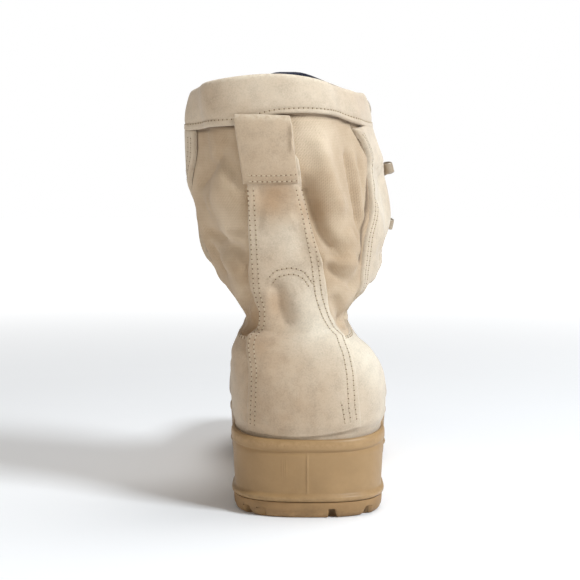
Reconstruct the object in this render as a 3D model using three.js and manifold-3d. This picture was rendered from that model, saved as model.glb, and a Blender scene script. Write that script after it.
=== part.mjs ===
// A right combat boot with a slack shaft, in millimetres: +Y to the toe, +X to the outer (lateral) side, +Z up.
// The origin lies on the floor under the middle of the heel.
import * as THREE from "three";
import { mergeVertices } from "three/addons/utils/BufferGeometryUtils.js";
import Module from "manifold-3d";

const wasm = await Module();
wasm.setup();

// Sole sizes.
const soleLength = 304;
const heelWidth = 90;
const waistWidth = 76;
const ballWidth = 110;
const toeSwing = 9; // the toe's tip lies this far to the inner side of the heel's middle line
const heelHeight = 44.5; // top of the foxing at the back of the heel
const forefootHeight = 36; // top of the foxing at the ball
const toeSpring = 11;
const archRise = 6.5;
const treadThickness = 9.2; // rubber outsole, lugs included
const grooveDepth = 4.6;
const grooveWidth = 3.4;
const rimWall = 2.6; // foxing wall that stands round the upper's lower margin
const seatDepth = 7.5; // from the foxing's top down to the bed
const fitGap = 0.35; // between curved pieces that meet
const heelMiddle = 40; // from the back of the sole to the origin

// Upper sizes.
const shaftRise = 201; // collar's back edge above the foxing's top
const shaftWidth = 114;
const ankleWidth = 60;
const shaftDepth = 96; // back to front at the collar
const shaftLean = 25; // the collar's back lies this far to the inner side
const shaftTwist = 13; // and its front turns this far back to the outer side
const collarDip = 6; // the collar's sides hang below its ends
const wall = 2.4; // leather or nylon with its lining
const bandHeight = 22;
const bandThickness = 2.3;
const stayThickness = 1.7;
const counterThickness = 1.7;
const quarterThickness = 0.9;
const eyestayWidth = 31;
const backstayHalf = { foot: 28, waist: 19.5, calf: 21, top: 15.5 };
const throatHalf = { base: 10, instep: 14, ankle: 27, calf: 42, collar: 39 };

// Tongue, insole, loop, hardware and lace sizes.
const tongueThickness = 4;
const tongueStand = 15; // above the collar's front
const tongueGap = 1.3;
const insoleThickness = 3;
const loopWidth = 31;
const loopThickness = 1.7;
const loopFold = 2.6; // space inside the flattened fold
const loopDrop = { top: 20.5, foot: 58 }; // below the collar's top edge
const eyeletBore = 2.4;
const eyeletBarrel = 3.2;
const eyeletFlange = 5.4;
const flangeThickness = 0.8;
const eyeletInset = 10; // from the throat's edge
const hookLength = 14;
const hookWidth = 8;
const hookStand = 6;
const laceRadius = 1.9;

const stationsAcross = 48;
const roundSides = 10; // faces round an eyelet or a rivet
const tau = 2 * Math.PI;

const lerp = (a, b, f) => a + (b - a) * f;
const clamp01 = (f) => Math.min(1, Math.max(0, f));
const ease = (f) => f * f * (3 - 2 * f);

// Monotone cubic through the points (at, value), so that a line never swells past its own table.
function through(ats, values) {
  const last = ats.length - 1;
  const slope = ats.slice(1).map((a, i) => (values[i + 1] - values[i]) / (a - ats[i]));
  const tangent = values.map((_, i) => {
    if (i === 0) return slope[0];
    if (i === last) return slope[last - 1];
    return slope[i - 1] * slope[i] <= 0 ? 0 : (2 * slope[i - 1] * slope[i]) / (slope[i - 1] + slope[i]);
  });
  return (x) => {
    let i = 0;
    while (i < last - 1 && x > ats[i + 1]) i++;
    const h = ats[i + 1] - ats[i];
    const f = clamp01((x - ats[i]) / h);
    const beyond = x > ats[last] ? (x - ats[last]) * tangent[last] : 0;
    const f2 = f * f;
    const f3 = f2 * f;
    return (
      (2 * f3 - 3 * f2 + 1) * values[i] +
      (f3 - 2 * f2 + f) * h * tangent[i] +
      (3 * f2 - 2 * f3) * values[i + 1] +
      (f3 - f2) * h * tangent[i + 1] +
      beyond
    );
  };
}

// Side lines of the sole, by share of its length: top of the foxing, and its underside.
const topLineRows = [
  { at: 0.0, heel: 1.0, fore: 0.0, spring: 0.0 },
  { at: 0.1, heel: 1.06, fore: 0.0, spring: 0.0 },
  { at: 0.22, heel: 1.06, fore: 0.0, spring: 0.0 },
  { at: 0.42, heel: 0.5, fore: 0.54, spring: 0.0 },
  { at: 0.62, heel: 0.0, fore: 1.0, spring: 0.0 },
  { at: 0.8, heel: 0.0, fore: 1.0, spring: 0.15 },
  { at: 1.0, heel: 0.0, fore: 0.98, spring: 1.0 },
];
const undersideRows = [
  { at: 0.0, arch: 0, spring: 0.0 },
  { at: 0.27, arch: 0, spring: 0.0 },
  { at: 0.335, arch: 1, spring: 0.0 },
  { at: 0.42, arch: 1, spring: 0.0 },
  { at: 0.485, arch: 0, spring: 0.0 },
  { at: 0.72, arch: 0, spring: 0.0 },
  { at: 0.86, arch: 0, spring: 0.32 },
  { at: 1.0, arch: 0, spring: 1.0 },
];
const topLine = through(
  topLineRows.map((r) => r.at),
  topLineRows.map((r) => r.heel * heelHeight + r.fore * forefootHeight + r.spring * toeSpring),
);
const treadLine = through(
  undersideRows.map((r) => r.at),
  undersideRows.map((r) => r.arch * archRise + r.spring * toeSpring),
);
const share = (y) => clamp01(y / soleLength);
const rimZ = (y) => topLine(share(y));
const treadZ = (y) => treadLine(share(y));
const undersideZ = (y) => treadZ(y) + treadThickness;

// Half widths of the sole, from its middle line to the inner (medial) and outer (lateral) side.
const soleHalf = {
  medial: { heel: 0.5 * heelWidth, waist: 0.47 * waistWidth, ball: 0.475 * ballWidth },
  lateral: { heel: 0.5 * heelWidth, waist: 0.53 * waistWidth, ball: 0.525 * ballWidth },
};
const stations = {
  medial: { heel: 0.17, waist: 0.4, ball: 0.7 },
  lateral: { heel: 0.17, waist: 0.42, ball: 0.65 },
};

// A loop's half width at share t of its own length: three widths joined by eases, closed by a rounded cap at each end.
function halfWidth(half, station, t, cap) {
  const body =
    t < station.waist
      ? lerp(half.heel, half.waist, ease(clamp01((t - station.heel) / (station.waist - station.heel))))
      : lerp(half.waist, half.ball, ease(clamp01((t - station.waist) / (station.ball - station.waist))));
  const round = (f, power) => Math.pow(Math.max(0, 1 - Math.pow(1 - clamp01(f), power)), 1 / power);
  return body * round(t / cap.back, cap.backPower) * round((1 - t) / cap.front, cap.frontPower);
}

// A point of a closed loop at u: 0 at the back, a quarter on the outer side, a half at the front.
function loopPoint(loop, u) {
  const turn = u * tau;
  const t = (1 - Math.cos(turn)) / 2;
  const side = Math.sin(turn) >= 0 ? "lateral" : "medial";
  const out = halfWidth(loop[side], stations[side], t, loop.cap);
  return {
    x: loop.lean + loop.swing * ease(t) + (side === "lateral" ? out : -out),
    y: lerp(loop.back, loop.front, t),
    t,
  };
}

const grown = (half, by) => ({ heel: half.heel + by, waist: half.waist + by, ball: half.ball + by });
const soleLoop = (out) => ({
  back: -out,
  front: soleLength + out,
  medial: grown(soleHalf.medial, out),
  lateral: grown(soleHalf.lateral, out),
  lean: 0,
  swing: -toeSwing,
  cap: { back: 0.14, backPower: 2.7, front: 0.34, frontPower: 2.2 },
});

// Closed mesh from world points and triangles, as a solid that can be joined and cut.
function solidOf(geometry) {
  const bare = geometry.index ? geometry.toNonIndexed() : geometry.clone();
  bare.deleteAttribute("normal");
  bare.deleteAttribute("uv");
  const merged = mergeVertices(bare, 1e-4);
  return new wasm.Manifold(
    new wasm.Mesh({
      numProp: 3,
      vertProperties: merged.attributes.position.array,
      triVerts: new Uint32Array(merged.index.array),
    }),
  );
}

function geometryOf(solid) {
  const mesh = solid.getMesh();
  const points = new Float32Array(mesh.numVert * 3);
  for (let i = 0; i < mesh.numVert; i++) {
    points.set(mesh.vertProperties.subarray(i * mesh.numProp, i * mesh.numProp + 3), i * 3);
  }
  const geometry = new THREE.BufferGeometry();
  geometry.setAttribute("position", new THREE.BufferAttribute(points, 3));
  geometry.setIndex(new THREE.BufferAttribute(mesh.triVerts, 1));
  return geometry;
}

function meshGeometry(points, faces) {
  const geometry = new THREE.BufferGeometry();
  geometry.setAttribute("position", new THREE.Float32BufferAttribute(points.flat(), 3));
  geometry.setIndex(faces.flat());
  return geometry;
}

// Skin between closed rings of equal count, listed from one cap to the other; each cap is laced straight across.
function ringSolid(rings) {
  const n = rings[0].length;
  const points = rings.flat();
  const faces = [];
  for (let k = 0; k + 1 < rings.length; k++) {
    for (let j = 0; j < n; j++) {
      const a = k * n + j;
      const b = k * n + ((j + 1) % n);
      faces.push([a, b, b + n], [a, b + n, a + n]);
    }
  }
  const lace = (start, flip) => {
    for (let j = 0; j < n / 2; j++) {
      const quad = [j, j + 1, (n - j - 1) % n, (n - j) % n].map((i) => start + i);
      const tris = [
        [quad[0], quad[2], quad[1]],
        [quad[0], quad[3], quad[2]],
      ];
      for (const tri of tris) {
        if (new Set(tri).size === 3) faces.push(flip ? [tri[0], tri[2], tri[1]] : tri);
      }
    }
  };
  lace(0, false);
  lace((rings.length - 1) * n, true);
  return solidOf(meshGeometry(points, faces));
}

const soleTurns = stationsAcross;
const soleRing = (out, height) =>
  Array.from({ length: soleTurns }, (_, j) => {
    const p = loopPoint(soleLoop(out), j / soleTurns);
    return [p.x, p.y, height(p.y)];
  });

function boxAt(size, centre, turnZ = 0) {
  const box = new THREE.BoxGeometry(...size);
  box.rotateZ(turnZ);
  box.translate(...centre);
  return solidOf(box);
}

const unite = (solids) => solids.reduce((a, b) => a.add(b));
const cut = (solid, tools) => solid.subtract(unite(tools));
// Crumbs that the cuts leave are dropped.
const tidied = (solid) => solid.decompose().reduce((a, b) => (a.volume() > b.volume() ? a : b));

// Rubber outsole: a rounded slab that follows the tread line, with grooves that leave lugs at heel and forefoot.
function outsoleSolid() {
  const rings = [
    [-4.5, (y) => treadZ(y)],
    [-3.0, (y) => treadZ(y) + 0.5],
    [-2.2, (y) => treadZ(y) + 2.2],
    [-1.4, (y) => undersideZ(y) - 1.6],
    [-1.6, (y) => undersideZ(y) - fitGap],
  ].map(([out, height]) => soleRing(out, height));
  const slab = ringSolid(rings);
  const across = 0.5 * ballWidth;
  const groove = (at, from, to, turn, rise = 0) =>
    boxAt(
      [Math.abs(to - from), grooveWidth, 2 * grooveDepth],
      [(from + to) / 2, at * soleLength, rise],
      turn,
    );
  const heelGrooves = [0.035, 0.105, 0.175].flatMap((at, i) => [
    groove(at, 13, 2 * across, 0.14 * (i - 0.6)),
    groove(at, -2 * across, -13, 0.14 * (0.6 - i)),
  ]);
  const notches = [-26, 14].map((x) => boxAt([3.2, 12, 2 * grooveDepth], [x, 2, 0]));
  const breast = boxAt([2 * ballWidth, 5, 2 * grooveDepth], [0, 0.245 * soleLength, 0]);
  const foreGrooves = [0.52, 0.575, 0.63, 0.685, 0.74].flatMap((at) => [
    groove(at, 11, 2 * across, 0.2),
    groove(at, -2 * across, -11, -0.2),
  ]);
  const toeGrooves = [0.8, 0.86, 0.915].flatMap((at) => [
    groove(at, 9, 2 * across, 0.3, treadZ(at * soleLength)),
    groove(at, -2 * across, -9, -0.3, treadZ(at * soleLength)),
  ]);
  const spine = boxAt([grooveWidth, 0.26 * soleLength, 2 * grooveDepth], [-2, 0.63 * soleLength, 0]);
  return cut(slab, [
    ...heelGrooves,
    ...notches,
    breast,
    ...foreGrooves,
    ...toeGrooves,
    spine,
  ]);
}

// Side of the foxing, from its bottom edge up: share of its height, and how far it stands out of the sole's outline.
const foxingProfile = [
  { at: 0.0, out: -1.6 },
  { at: 0.025, out: -0.5 },
  { at: 0.085, out: -0.5 },
  { at: 0.115, out: -1.9 },
  { at: 0.45, out: -1.3 },
  { at: 0.78, out: -0.7 },
  { at: 0.805, out: -1.1 },
  { at: 0.83, out: -0.1 },
  { at: 0.955, out: 0.0 },
  { at: 1.0, out: -0.9 },
];

// Foxing and midsole in one: ribbed wall, thin rim, and a bed sunk below the rim.
function midsoleSolid() {
  const wallZ = (at) => (y) => lerp(undersideZ(y), rimZ(y), at);
  const rings = [
    ...foxingProfile.map((row) => soleRing(row.out, wallZ(row.at))),
    soleRing(-rimWall, wallZ(1)),
    soleRing(-rimWall - 0.2, (y) => rimZ(y) - seatDepth),
  ];
  const seam = boxAt(
    [2.6, 3, 0.62 * (heelHeight - treadThickness)],
    [0, 1.5 + 0.8, treadThickness + 0.45 * (heelHeight - treadThickness)],
  );
  return ringSolid(rings).add(seam);
}

// Loops of the upper from the bed to the ankle. rise: above the foxing's rim, by shaftRise; back and front: along the
// sole, by soleLength; the widths by the sole's own; inset: 1 is clear inside the rim; lean and swing in their sizes.
const footSections = [
  { riseB: -0.035, riseF: -0.035, back: 0, front: 1, m: [1, 1, 1], l: [1, 1, 1], inset: 1, lean: 0, swing: 1, nose: 0.34, dip: 0 },
  { riseB: 0.006, riseF: 0.006, back: 0, front: 1, m: [1, 1, 1], l: [1, 1, 1], inset: 1, lean: 0, swing: 1, nose: 0.34, dip: 0 },
  { riseB: 0.045, riseF: 0.045, back: 0.001, front: 0.999, m: [0.98, 0.999, 0.999], l: [1, 1, 1], inset: 0.2, lean: 0, swing: 1, nose: 0.34, dip: 0 },
  { riseB: 0.109, riseF: 0.104, back: 0, front: 0.98, m: [0.98, 1.04, 0.97], l: [0.99, 0.99, 0.95], inset: 0, lean: 0, swing: 1, nose: 0.35, dip: 0 },
  { riseB: 0.149, riseF: 0.144, back: 0.002, front: 0.931, m: [0.97, 1.04, 0.88], l: [0.98, 0.98, 0.87], inset: 0, lean: 0.02, swing: 0.95, nose: 0.4, dip: 0 },
  { riseB: 0.179, riseF: 0.179, back: 0.005, front: 0.842, m: [0.96, 1.02, 0.79], l: [0.94, 0.96, 0.78], inset: 0, lean: 0.04, swing: 0.8, nose: 0.46, dip: 0 },
  { riseB: 0.199, riseF: 0.219, back: 0.01, front: 0.714, m: [0.92, 0.99, 0.68], l: [0.91, 0.91, 0.66], inset: 0, lean: 0.08, swing: 0.6, nose: 0.46, dip: 0.25 },
  { riseB: 0.224, riseF: 0.279, back: 0.016, front: 0.605, m: [0.87, 0.97, 0.56], l: [0.87, 0.86, 0.54], inset: 0, lean: 0.16, swing: 0.4, nose: 0.42, dip: 0.5 },
  { riseB: 0.244, riseF: 0.343, back: 0.023, front: 0.52, m: [0.79, 0.91, 0.51], l: [0.78, 0.79, 0.48], inset: 0, lean: 0.24, swing: 0.2, nose: 0.38, dip: 0.75 },
  { riseB: 0.269, riseF: 0.408, back: 0.031, front: 0.454, m: [0.7, 0.85, 0.5], l: [0.69, 0.74, 0.47], inset: 0, lean: 0.3, swing: 0, nose: 0.36, dip: 1 },
];
// Loops of the shaft from the ankle to the collar. back and front by shaftDepth; the widths by half of ankleWidth and of
// shaftWidth, mixed by slack; lean by shaftLean; twist by shaftTwist; dip by collarDip.
const shaftSections = [
  { riseB: 0.294, riseF: 0.473, back: 0.125, front: 1.271, slack: 0, m: [0.93, 1, 0.9], l: [0.93, 1, 0.93], lean: 0.33, twist: 0.23, dip: 1.08, nose: 0.36 },
  { riseB: 0.383, riseF: 0.547, back: 0.115, front: 1.198, slack: 1, m: [0.61, 0.75, 0.74], l: [0.65, 0.82, 0.86], lean: 0.4, twist: 0.38, dip: 1, nose: 0.34 },
  { riseB: 0.512, riseF: 0.657, back: 0.094, front: 1.156, slack: 1, m: [0.67, 0.95, 0.91], l: [0.7, 0.96, 1.01], lean: 0.52, twist: 0.62, dip: 0.5, nose: 0.33 },
  { riseB: 0.657, riseF: 0.781, back: 0.073, front: 1.135, slack: 1, m: [0.68, 1, 0.93], l: [0.67, 0.89, 0.93], lean: 0.66, twist: 0.85, dip: 0, nose: 0.33 },
  { riseB: 0.816, riseF: 0.91, back: 0.062, front: 1.115, slack: 1, m: [0.67, 0.96, 0.91], l: [0.65, 0.82, 0.83], lean: 0.82, twist: 0.92, dip: 0.17, nose: 0.34 },
  { riseB: 0.995, riseF: 1.005, back: 0.052, front: 1.094, slack: 1, m: [0.65, 0.82, 0.81], l: [0.63, 0.79, 0.81], lean: 1, twist: 1, dip: 1, nose: 0.36 },
];

const named = (three) => ({ heel: three[0], waist: three[1], ball: three[2] });
function footLoop(row) {
  const inset = row.inset * (rimWall + 0.2 + fitGap);
  const sideOf = (shares, half) => ({
    heel: shares[0] * half.heel - inset,
    waist: shares[1] * half.waist - inset,
    ball: shares[2] * half.ball - inset,
  });
  return {
    riseB: row.riseB * shaftRise,
    riseF: row.riseF * shaftRise,
    back: row.back * soleLength + inset,
    front: row.front * soleLength - inset,
    medial: sideOf(row.m, soleHalf.medial),
    lateral: sideOf(row.l, soleHalf.lateral),
    lean: -row.lean * shaftLean,
    swing: -row.swing * toeSwing,
    dip: row.dip * collarDip,
    nose: row.nose,
    heelCap: 0.15,
    square: 2.15,
  };
}
function shaftLoop(row) {
  const half = 0.5 * (row.slack ? shaftWidth : ankleWidth);
  const sideOf = (shares) => named(shares.map((s) => s * half));
  return {
    riseB: row.riseB * shaftRise,
    riseF: row.riseF * shaftRise,
    back: row.back * shaftDepth,
    front: row.front * shaftDepth,
    medial: sideOf(row.m),
    lateral: sideOf(row.l),
    lean: -row.lean * shaftLean,
    swing: row.twist * shaftTwist,
    dip: row.dip * collarDip,
    nose: row.nose,
    heelCap: 0.25,
    square: 2.5,
  };
}
const loops = [...footSections.map(footLoop), ...shaftSections.map(shaftLoop)];
const collarLevel = loops.length - 1;
const curveOf = (pick) => through(loops.map((_, i) => i), loops.map(pick));
const flow = {
  riseB: curveOf((r) => r.riseB),
  riseF: curveOf((r) => r.riseF),
  back: curveOf((r) => r.back),
  front: curveOf((r) => r.front),
  lean: curveOf((r) => r.lean),
  swing: curveOf((r) => r.swing),
  dip: curveOf((r) => r.dip),
  nose: curveOf((r) => r.nose),
  heelCap: curveOf((r) => r.heelCap),
  square: curveOf((r) => r.square),
};
for (const side of ["medial", "lateral"]) {
  for (const spot of ["heel", "waist", "ball"]) flow[side + spot] = curveOf((r) => r[side][spot]);
}

// Outer surface of the upper at u round the loop and level v from the bed (0) to the collar.
function surface(u, v) {
  const sideAt = (side) => named(["heel", "waist", "ball"].map((spot) => flow[side + spot](v)));
  const loop = {
    back: flow.back(v),
    front: flow.front(v),
    medial: sideAt("medial"),
    lateral: sideAt("lateral"),
    lean: flow.lean(v),
    swing: flow.swing(v),
    cap: { back: flow.heelCap(v), backPower: 2.4, front: flow.nose(v), frontPower: flow.square(v) },
  };
  const p = loopPoint(loop, u);
  const rise = lerp(flow.riseB(v), flow.riseF(v), p.t) - flow.dip(v) * 4 * p.t * (1 - p.t);
  return new THREE.Vector3(p.x, p.y, rimZ(p.y) + rise);
}

function normalAt(u, v) {
  const du = 2e-3;
  const dv = 2e-2;
  const along = surface(u + du, v).sub(surface(u - du, v));
  const level = Math.min(Math.max(v, dv), collarLevel - dv);
  const up = surface(u, level + dv).sub(surface(u, level - dv));
  return along.cross(up).normalize();
}

// A point that stands out of the surface; a negative figure lies inside the wall.
function proud(u, v, out) {
  return surface(u, v).addScaledVector(normalAt(u, v), out);
}

// The u at a walked distance round the loop from the back (start 0) or the front (start 0.5); side +1 is lateral.
function walked(v, start, side, distance) {
  const step = (start === 0 ? side : -side) * 0.002;
  let u = start;
  let gone = 0;
  let here = surface(u, v);
  while (gone < distance && Math.abs(u - start) < 0.49) {
    const next = surface(u + step, v);
    gone += next.distanceTo(here);
    here = next;
    u += step;
  }
  return u;
}

// The level at which the surface over u stands at a height, counted between two levels.
function levelAt(u, height, low = 0, high = collarLevel) {
  for (let i = 0; i < 30; i++) {
    const middle = (low + high) / 2;
    if (surface(u, middle).z < height) low = middle;
    else high = middle;
  }
  return (low + high) / 2;
}

// The level a walked distance below the collar's edge at u.
function levelBelow(u, distance) {
  let v = collarLevel;
  let gone = 0;
  let here = surface(u, v);
  while (gone < distance && v > 0.02) {
    const next = surface(u, v - 0.02);
    gone += next.distanceTo(here);
    here = next;
    v -= 0.02;
  }
  return v;
}

// Closed slab over a patch of the upper's surface: at(s, r) gives [u, v]; low and high give its faces' offsets.
function slab(at, countS, countR, low, high) {
  const points = [];
  for (const face of [low, high]) {
    const outAt = typeof face === "function" ? face : () => face;
    for (let i = 0; i <= countS; i++) {
      for (let k = 0; k <= countR; k++) {
        const [u, v] = at(i / countS, k / countR);
        points.push(proud(u, v, outAt(i / countS, k / countR)).toArray());
      }
    }
  }
  const layer = (countS + 1) * (countR + 1);
  const id = (i, k, top) => top * layer + i * (countR + 1) + k;
  const faces = [];
  const quad = (a, b, c, d) => faces.push([a, b, c], [a, c, d]);
  for (let i = 0; i < countS; i++) {
    for (let k = 0; k < countR; k++) {
      quad(id(i, k, 1), id(i + 1, k, 1), id(i + 1, k + 1, 1), id(i, k + 1, 1));
      quad(id(i, k, 0), id(i, k + 1, 0), id(i + 1, k + 1, 0), id(i + 1, k, 0));
    }
    quad(id(i, 0, 0), id(i + 1, 0, 0), id(i + 1, 0, 1), id(i, 0, 1));
    quad(id(i, countR, 1), id(i + 1, countR, 1), id(i + 1, countR, 0), id(i, countR, 0));
  }
  for (let k = 0; k < countR; k++) {
    quad(id(0, k, 1), id(0, k + 1, 1), id(0, k + 1, 0), id(0, k, 0));
    quad(id(countS, k, 0), id(countS, k + 1, 0), id(countS, k + 1, 1), id(countS, k, 1));
  }
  const made = solidOf(meshGeometry(points, faces));
  return made.volume() < 0 ? solidOf(meshGeometry(points, faces.map(([a, b, c]) => [a, c, b]))) : made;
}

// Level of the lower leather's top edge: low beside the counter, and sweeping up to the throat's base in front.
const quarterBase = 1.25;
function quarterTop(u) {
  const fromBack = 1 - Math.abs(2 * u - 1);
  return lerp(9.05, 9.7, ease(clamp01((fromBack - 0.45) / 0.4)));
}

// Hollow wall of the upper. Its outer skin steps out over the lower leather and again over the collar band, so each
// row is a share of the way between the levels that bound its part, and how far it stands out.
const leatherRows = [0, 0.08, 0.19, 0.33, 0.5, 0.67, 0.84, 1];
const shaftRows = [0.02, 0.12, 0.24, 0.37, 0.52, 0.68, 0.84, 1];
const innerLevels = [0, 2, 3, 4, 5, 6, 7, 8, 9, 10, 11, 12, 13, 14, 15];
function shell() {
  const ring = (levelOf, out) =>
    Array.from({ length: stationsAcross }, (_, j) => {
      const u = j / stationsAcross;
      return proud(u, levelOf(u), out).toArray();
    });
  const bandLevel = (u) => levelBelow(u, bandHeight);
  const rings = [
    ring(() => 0, 0),
    ring(() => quarterBase - 0.1, 0),
    ...leatherRows.map((f) => ring((u) => lerp(quarterBase, quarterTop(u), f), quarterThickness)),
    ...shaftRows.map((f) => ring((u) => lerp(quarterTop(u), bandLevel(u), f), 0)),
    ring((u) => bandLevel(u) + 0.04, bandThickness),
    ring((u) => lerp(bandLevel(u), collarLevel, 0.5), bandThickness),
    ring(() => collarLevel, bandThickness - 0.6),
    ring(() => collarLevel + 0.04, 0.2 - 0.5 * wall),
    ...innerLevels.toReversed().map((v) => ring(() => v, -wall)),
  ];
  const n = stationsAcross;
  const faces = [];
  for (let k = 0; k < rings.length; k++) {
    const above = ((k + 1) % rings.length) * n;
    for (let j = 0; j < n; j++) {
      const a = k * n + j;
      const b = k * n + ((j + 1) % n);
      const c = above + ((j + 1) % n);
      const d = above + j;
      faces.push([a, b, c], [a, c, d]);
    }
  }
  return solidOf(meshGeometry(rings.flat(), faces));
}

// The throat: its half width walked from the front line, from its base over the instep to the collar.
const throatBase = 6.2;
const throatWidth = through(
  [throatBase, 8, 10.3, 12.2, collarLevel],
  [throatHalf.base, throatHalf.instep, throatHalf.ankle, throatHalf.calf, throatHalf.collar],
);
const throatEdge = (side, v, beyond = 0) => walked(Math.min(v, collarLevel), 0.5, side, throatWidth(v) + beyond);

function throatCutter() {
  return slab(
    (s, r) => {
      const v = lerp(throatBase, collarLevel + 0.6, r);
      const round = Math.sqrt(clamp01(r / 0.06 + 0.02));
      const left = lerp(0.5, throatEdge(-1, v), Math.min(1, round));
      const right = lerp(0.5, throatEdge(1, v), Math.min(1, round));
      return [lerp(right, left, s), v];
    },
    8,
    18,
    -14,
    9,
  );
}

const backstayWidth = through(
  [1.25, 6, 9, 10.3, 11.3, 12.5, 13.3, collarLevel],
  [
    backstayHalf.foot,
    backstayHalf.foot - 1,
    backstayHalf.waist + 3.5,
    backstayHalf.waist,
    backstayHalf.calf,
    backstayHalf.top + 2.5,
    backstayHalf.top,
    backstayHalf.top,
  ],
);

function backstay() {
  const top = levelBelow(0, bandHeight - 2);
  return slab(
    (s, r) => {
      const v = lerp(1.25, top, r);
      return [walked(v, 0, s < 0.5 ? -1 : 1, Math.abs(2 * s - 1) * backstayWidth(v)), v];
    },
    6,
    12,
    -0.9,
    counterThickness,
  );
}

function eyestay(side) {
  const top = levelBelow(throatEdge(side, collarLevel, eyeletInset), bandHeight - 2);
  return slab(
    (s, r) => {
      const v = lerp(throatBase + 0.5, top, r);
      return [throatEdge(side, v, lerp(-3, eyestayWidth * lerp(0.75, 1, r), s)), v];
    },
    3,
    18,
    -0.9,
    stayThickness,
  );
}

// Hardware rows, walked below the collar's edge along the eyestay: one collar eyelet, three hooks, four lower eyelets.
const hardwareRows = [
  { kind: "collar_eyelet", below: 9.5 },
  { kind: "hook", below: 50 },
  { kind: "hook", below: 84 },
  { kind: "hook", below: 115 },
  { kind: "eyelet", below: 133 },
  { kind: "eyelet", below: 152 },
  { kind: "eyelet", below: 171 },
  { kind: "eyelet", below: 190 },
];
function hardwareSpot(side, below) {
  const v = levelBelow(throatEdge(side, collarLevel, eyeletInset), below);
  return { u: throatEdge(side, v, eyeletInset), v };
}

// Frame on the surface: Z along the outward normal, Y up the eyestay, X away from the throat on either side.
function surfaceFrame({ u, v }, out, side) {
  const z = normalAt(u, v);
  const up = surface(u, v + 0.05).sub(surface(u, v - 0.05)).normalize();
  const x = up.clone().cross(z).normalize();
  const y = z.clone().cross(x);
  if (side < 0) {
    x.negate();
    y.negate();
  }
  return new THREE.Matrix4().makeBasis(x, y, z).setPosition(proud(u, v, out));
}

// Where a piece of hardware sits: its seat stands this far out of the upper's surface.
const seatOf = (row) => (row.kind === "collar_eyelet" ? bandThickness : stayThickness) + 0.6;
const seatFrame = (row, sign) => surfaceFrame(hardwareSpot(sign, row.below), seatOf(row), sign);

// Bore for an eyelet's barrel, and the flat that its flange, or a hook's foot, presses into the leather.
function hardwareCutter(row, sign) {
  const hook = row.kind === "hook";
  const presser = hook
    ? new THREE.BoxGeometry(hookLength + 2 * fitGap, hookWidth + 2 * fitGap, 8)
    : new THREE.CylinderGeometry(eyeletFlange + fitGap, eyeletFlange + fitGap, 8, roundSides).rotateX(Math.PI / 2);
  presser.translate(0, 0, 4 - fitGap);
  presser.applyMatrix4(seatFrame(row, sign));
  if (hook) return solidOf(presser);
  const bore = new THREE.CylinderGeometry(eyeletBarrel + fitGap, eyeletBarrel + fitGap, 18, roundSides);
  bore.rotateX(Math.PI / 2);
  bore.applyMatrix4(seatFrame(row, sign));
  return solidOf(presser).add(solidOf(bore));
}

const sides = [
  { name: "lateral", sign: 1 },
  { name: "medial", sign: -1 },
];
const eyeletRows = hardwareRows.filter((row) => row.kind !== "hook");
const hookRows = hardwareRows.filter((row) => row.kind === "hook");

function upperSolid() {
  const overlays = [backstay(), eyestay(1), eyestay(-1)];
  const seats = sides.flatMap(({ sign }) => hardwareRows.map((row) => hardwareCutter(row, sign)));
  return tidied(cut(unite([shell(), ...overlays]), [throatCutter(), ...seats]));
}

// Padded tongue behind the throat: it follows the upper's inner face, on the same stations, and stands above the
// collar.
const tongueRows = [
  { level: 5.8, reach: 4 },
  { level: 7, reach: 4.5 },
  { level: 8, reach: 5 },
  { level: 9, reach: 5.5 },
  { level: 10, reach: 6 },
  { level: 11, reach: 7 },
  { level: 12, reach: 8 },
  { level: 13, reach: 8 },
  { level: 14, reach: 8 },
  { level: 15, reach: 8 },
]; // reach: stations on each side of the front line
function tongueSolid() {
  const stand = (0.5 * tongueStand) / surface(0.5, collarLevel).distanceTo(surface(0.5, collarLevel - 0.5));
  const rows = [
    ...tongueRows,
    { level: collarLevel + 0.6 * stand, reach: 7.6 },
    { level: collarLevel + stand, reach: 6.4 },
  ];
  return slab(
    (s, r) => {
      const row = rows[Math.round(r * (rows.length - 1))];
      return [0.5 + ((1 - 2 * s) * row.reach) / stationsAcross, row.level];
    },
    14,
    rows.length - 1,
    -wall - tongueGap - tongueThickness,
    -wall - tongueGap,
  );
}

// Insole: a plate on the bed, clear of the upper's inner face.
function insoleSolid() {
  const inset = rimWall + 0.2 + fitGap + wall + 1.9;
  const bed = (y) => rimZ(y) - seatDepth + fitGap;
  return ringSolid([
    soleRing(-inset, bed),
    soleRing(-inset, (y) => bed(y) + insoleThickness),
  ]);
}

// Pull loop: a leather strip folded on itself, standing behind the collar and sewn to the backstay at its foot.
function pullLoopSolid() {
  const out = bandThickness + fitGap;
  const low = levelBelow(0, loopDrop.foot);
  const high = levelBelow(0, loopDrop.top);
  const half = 0.5 * loopWidth;
  const strip = (across, from, to, shareLow, shareHigh, rows) =>
    slab(
      (s, r) => {
        const v = lerp(low, high, lerp(shareLow, shareHigh, r));
        return [walked(v, 0, s < 0.5 ? -1 : 1, Math.abs(2 * s - 1) * across), v];
      },
      4,
      rows,
      from,
      to,
    );
  const depth = 2 * loopThickness + loopFold;
  const bulge = (r) => Math.sin(Math.PI * clamp01(r));
  const block = strip(half, out, (s, r) => out + lerp(0.55, 1, Math.sqrt(bulge(0.12 + 0.7 * r))) * depth, 0, 1, 6);
  const hollow = strip(
    half + 4,
    out + loopThickness,
    (s, r) => out + loopThickness + lerp(0.35, 1, bulge(0.1 + 0.8 * r)) * loopFold,
    0.3,
    0.95,
    4,
  );
  return cut(block, [hollow]);
}

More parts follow.
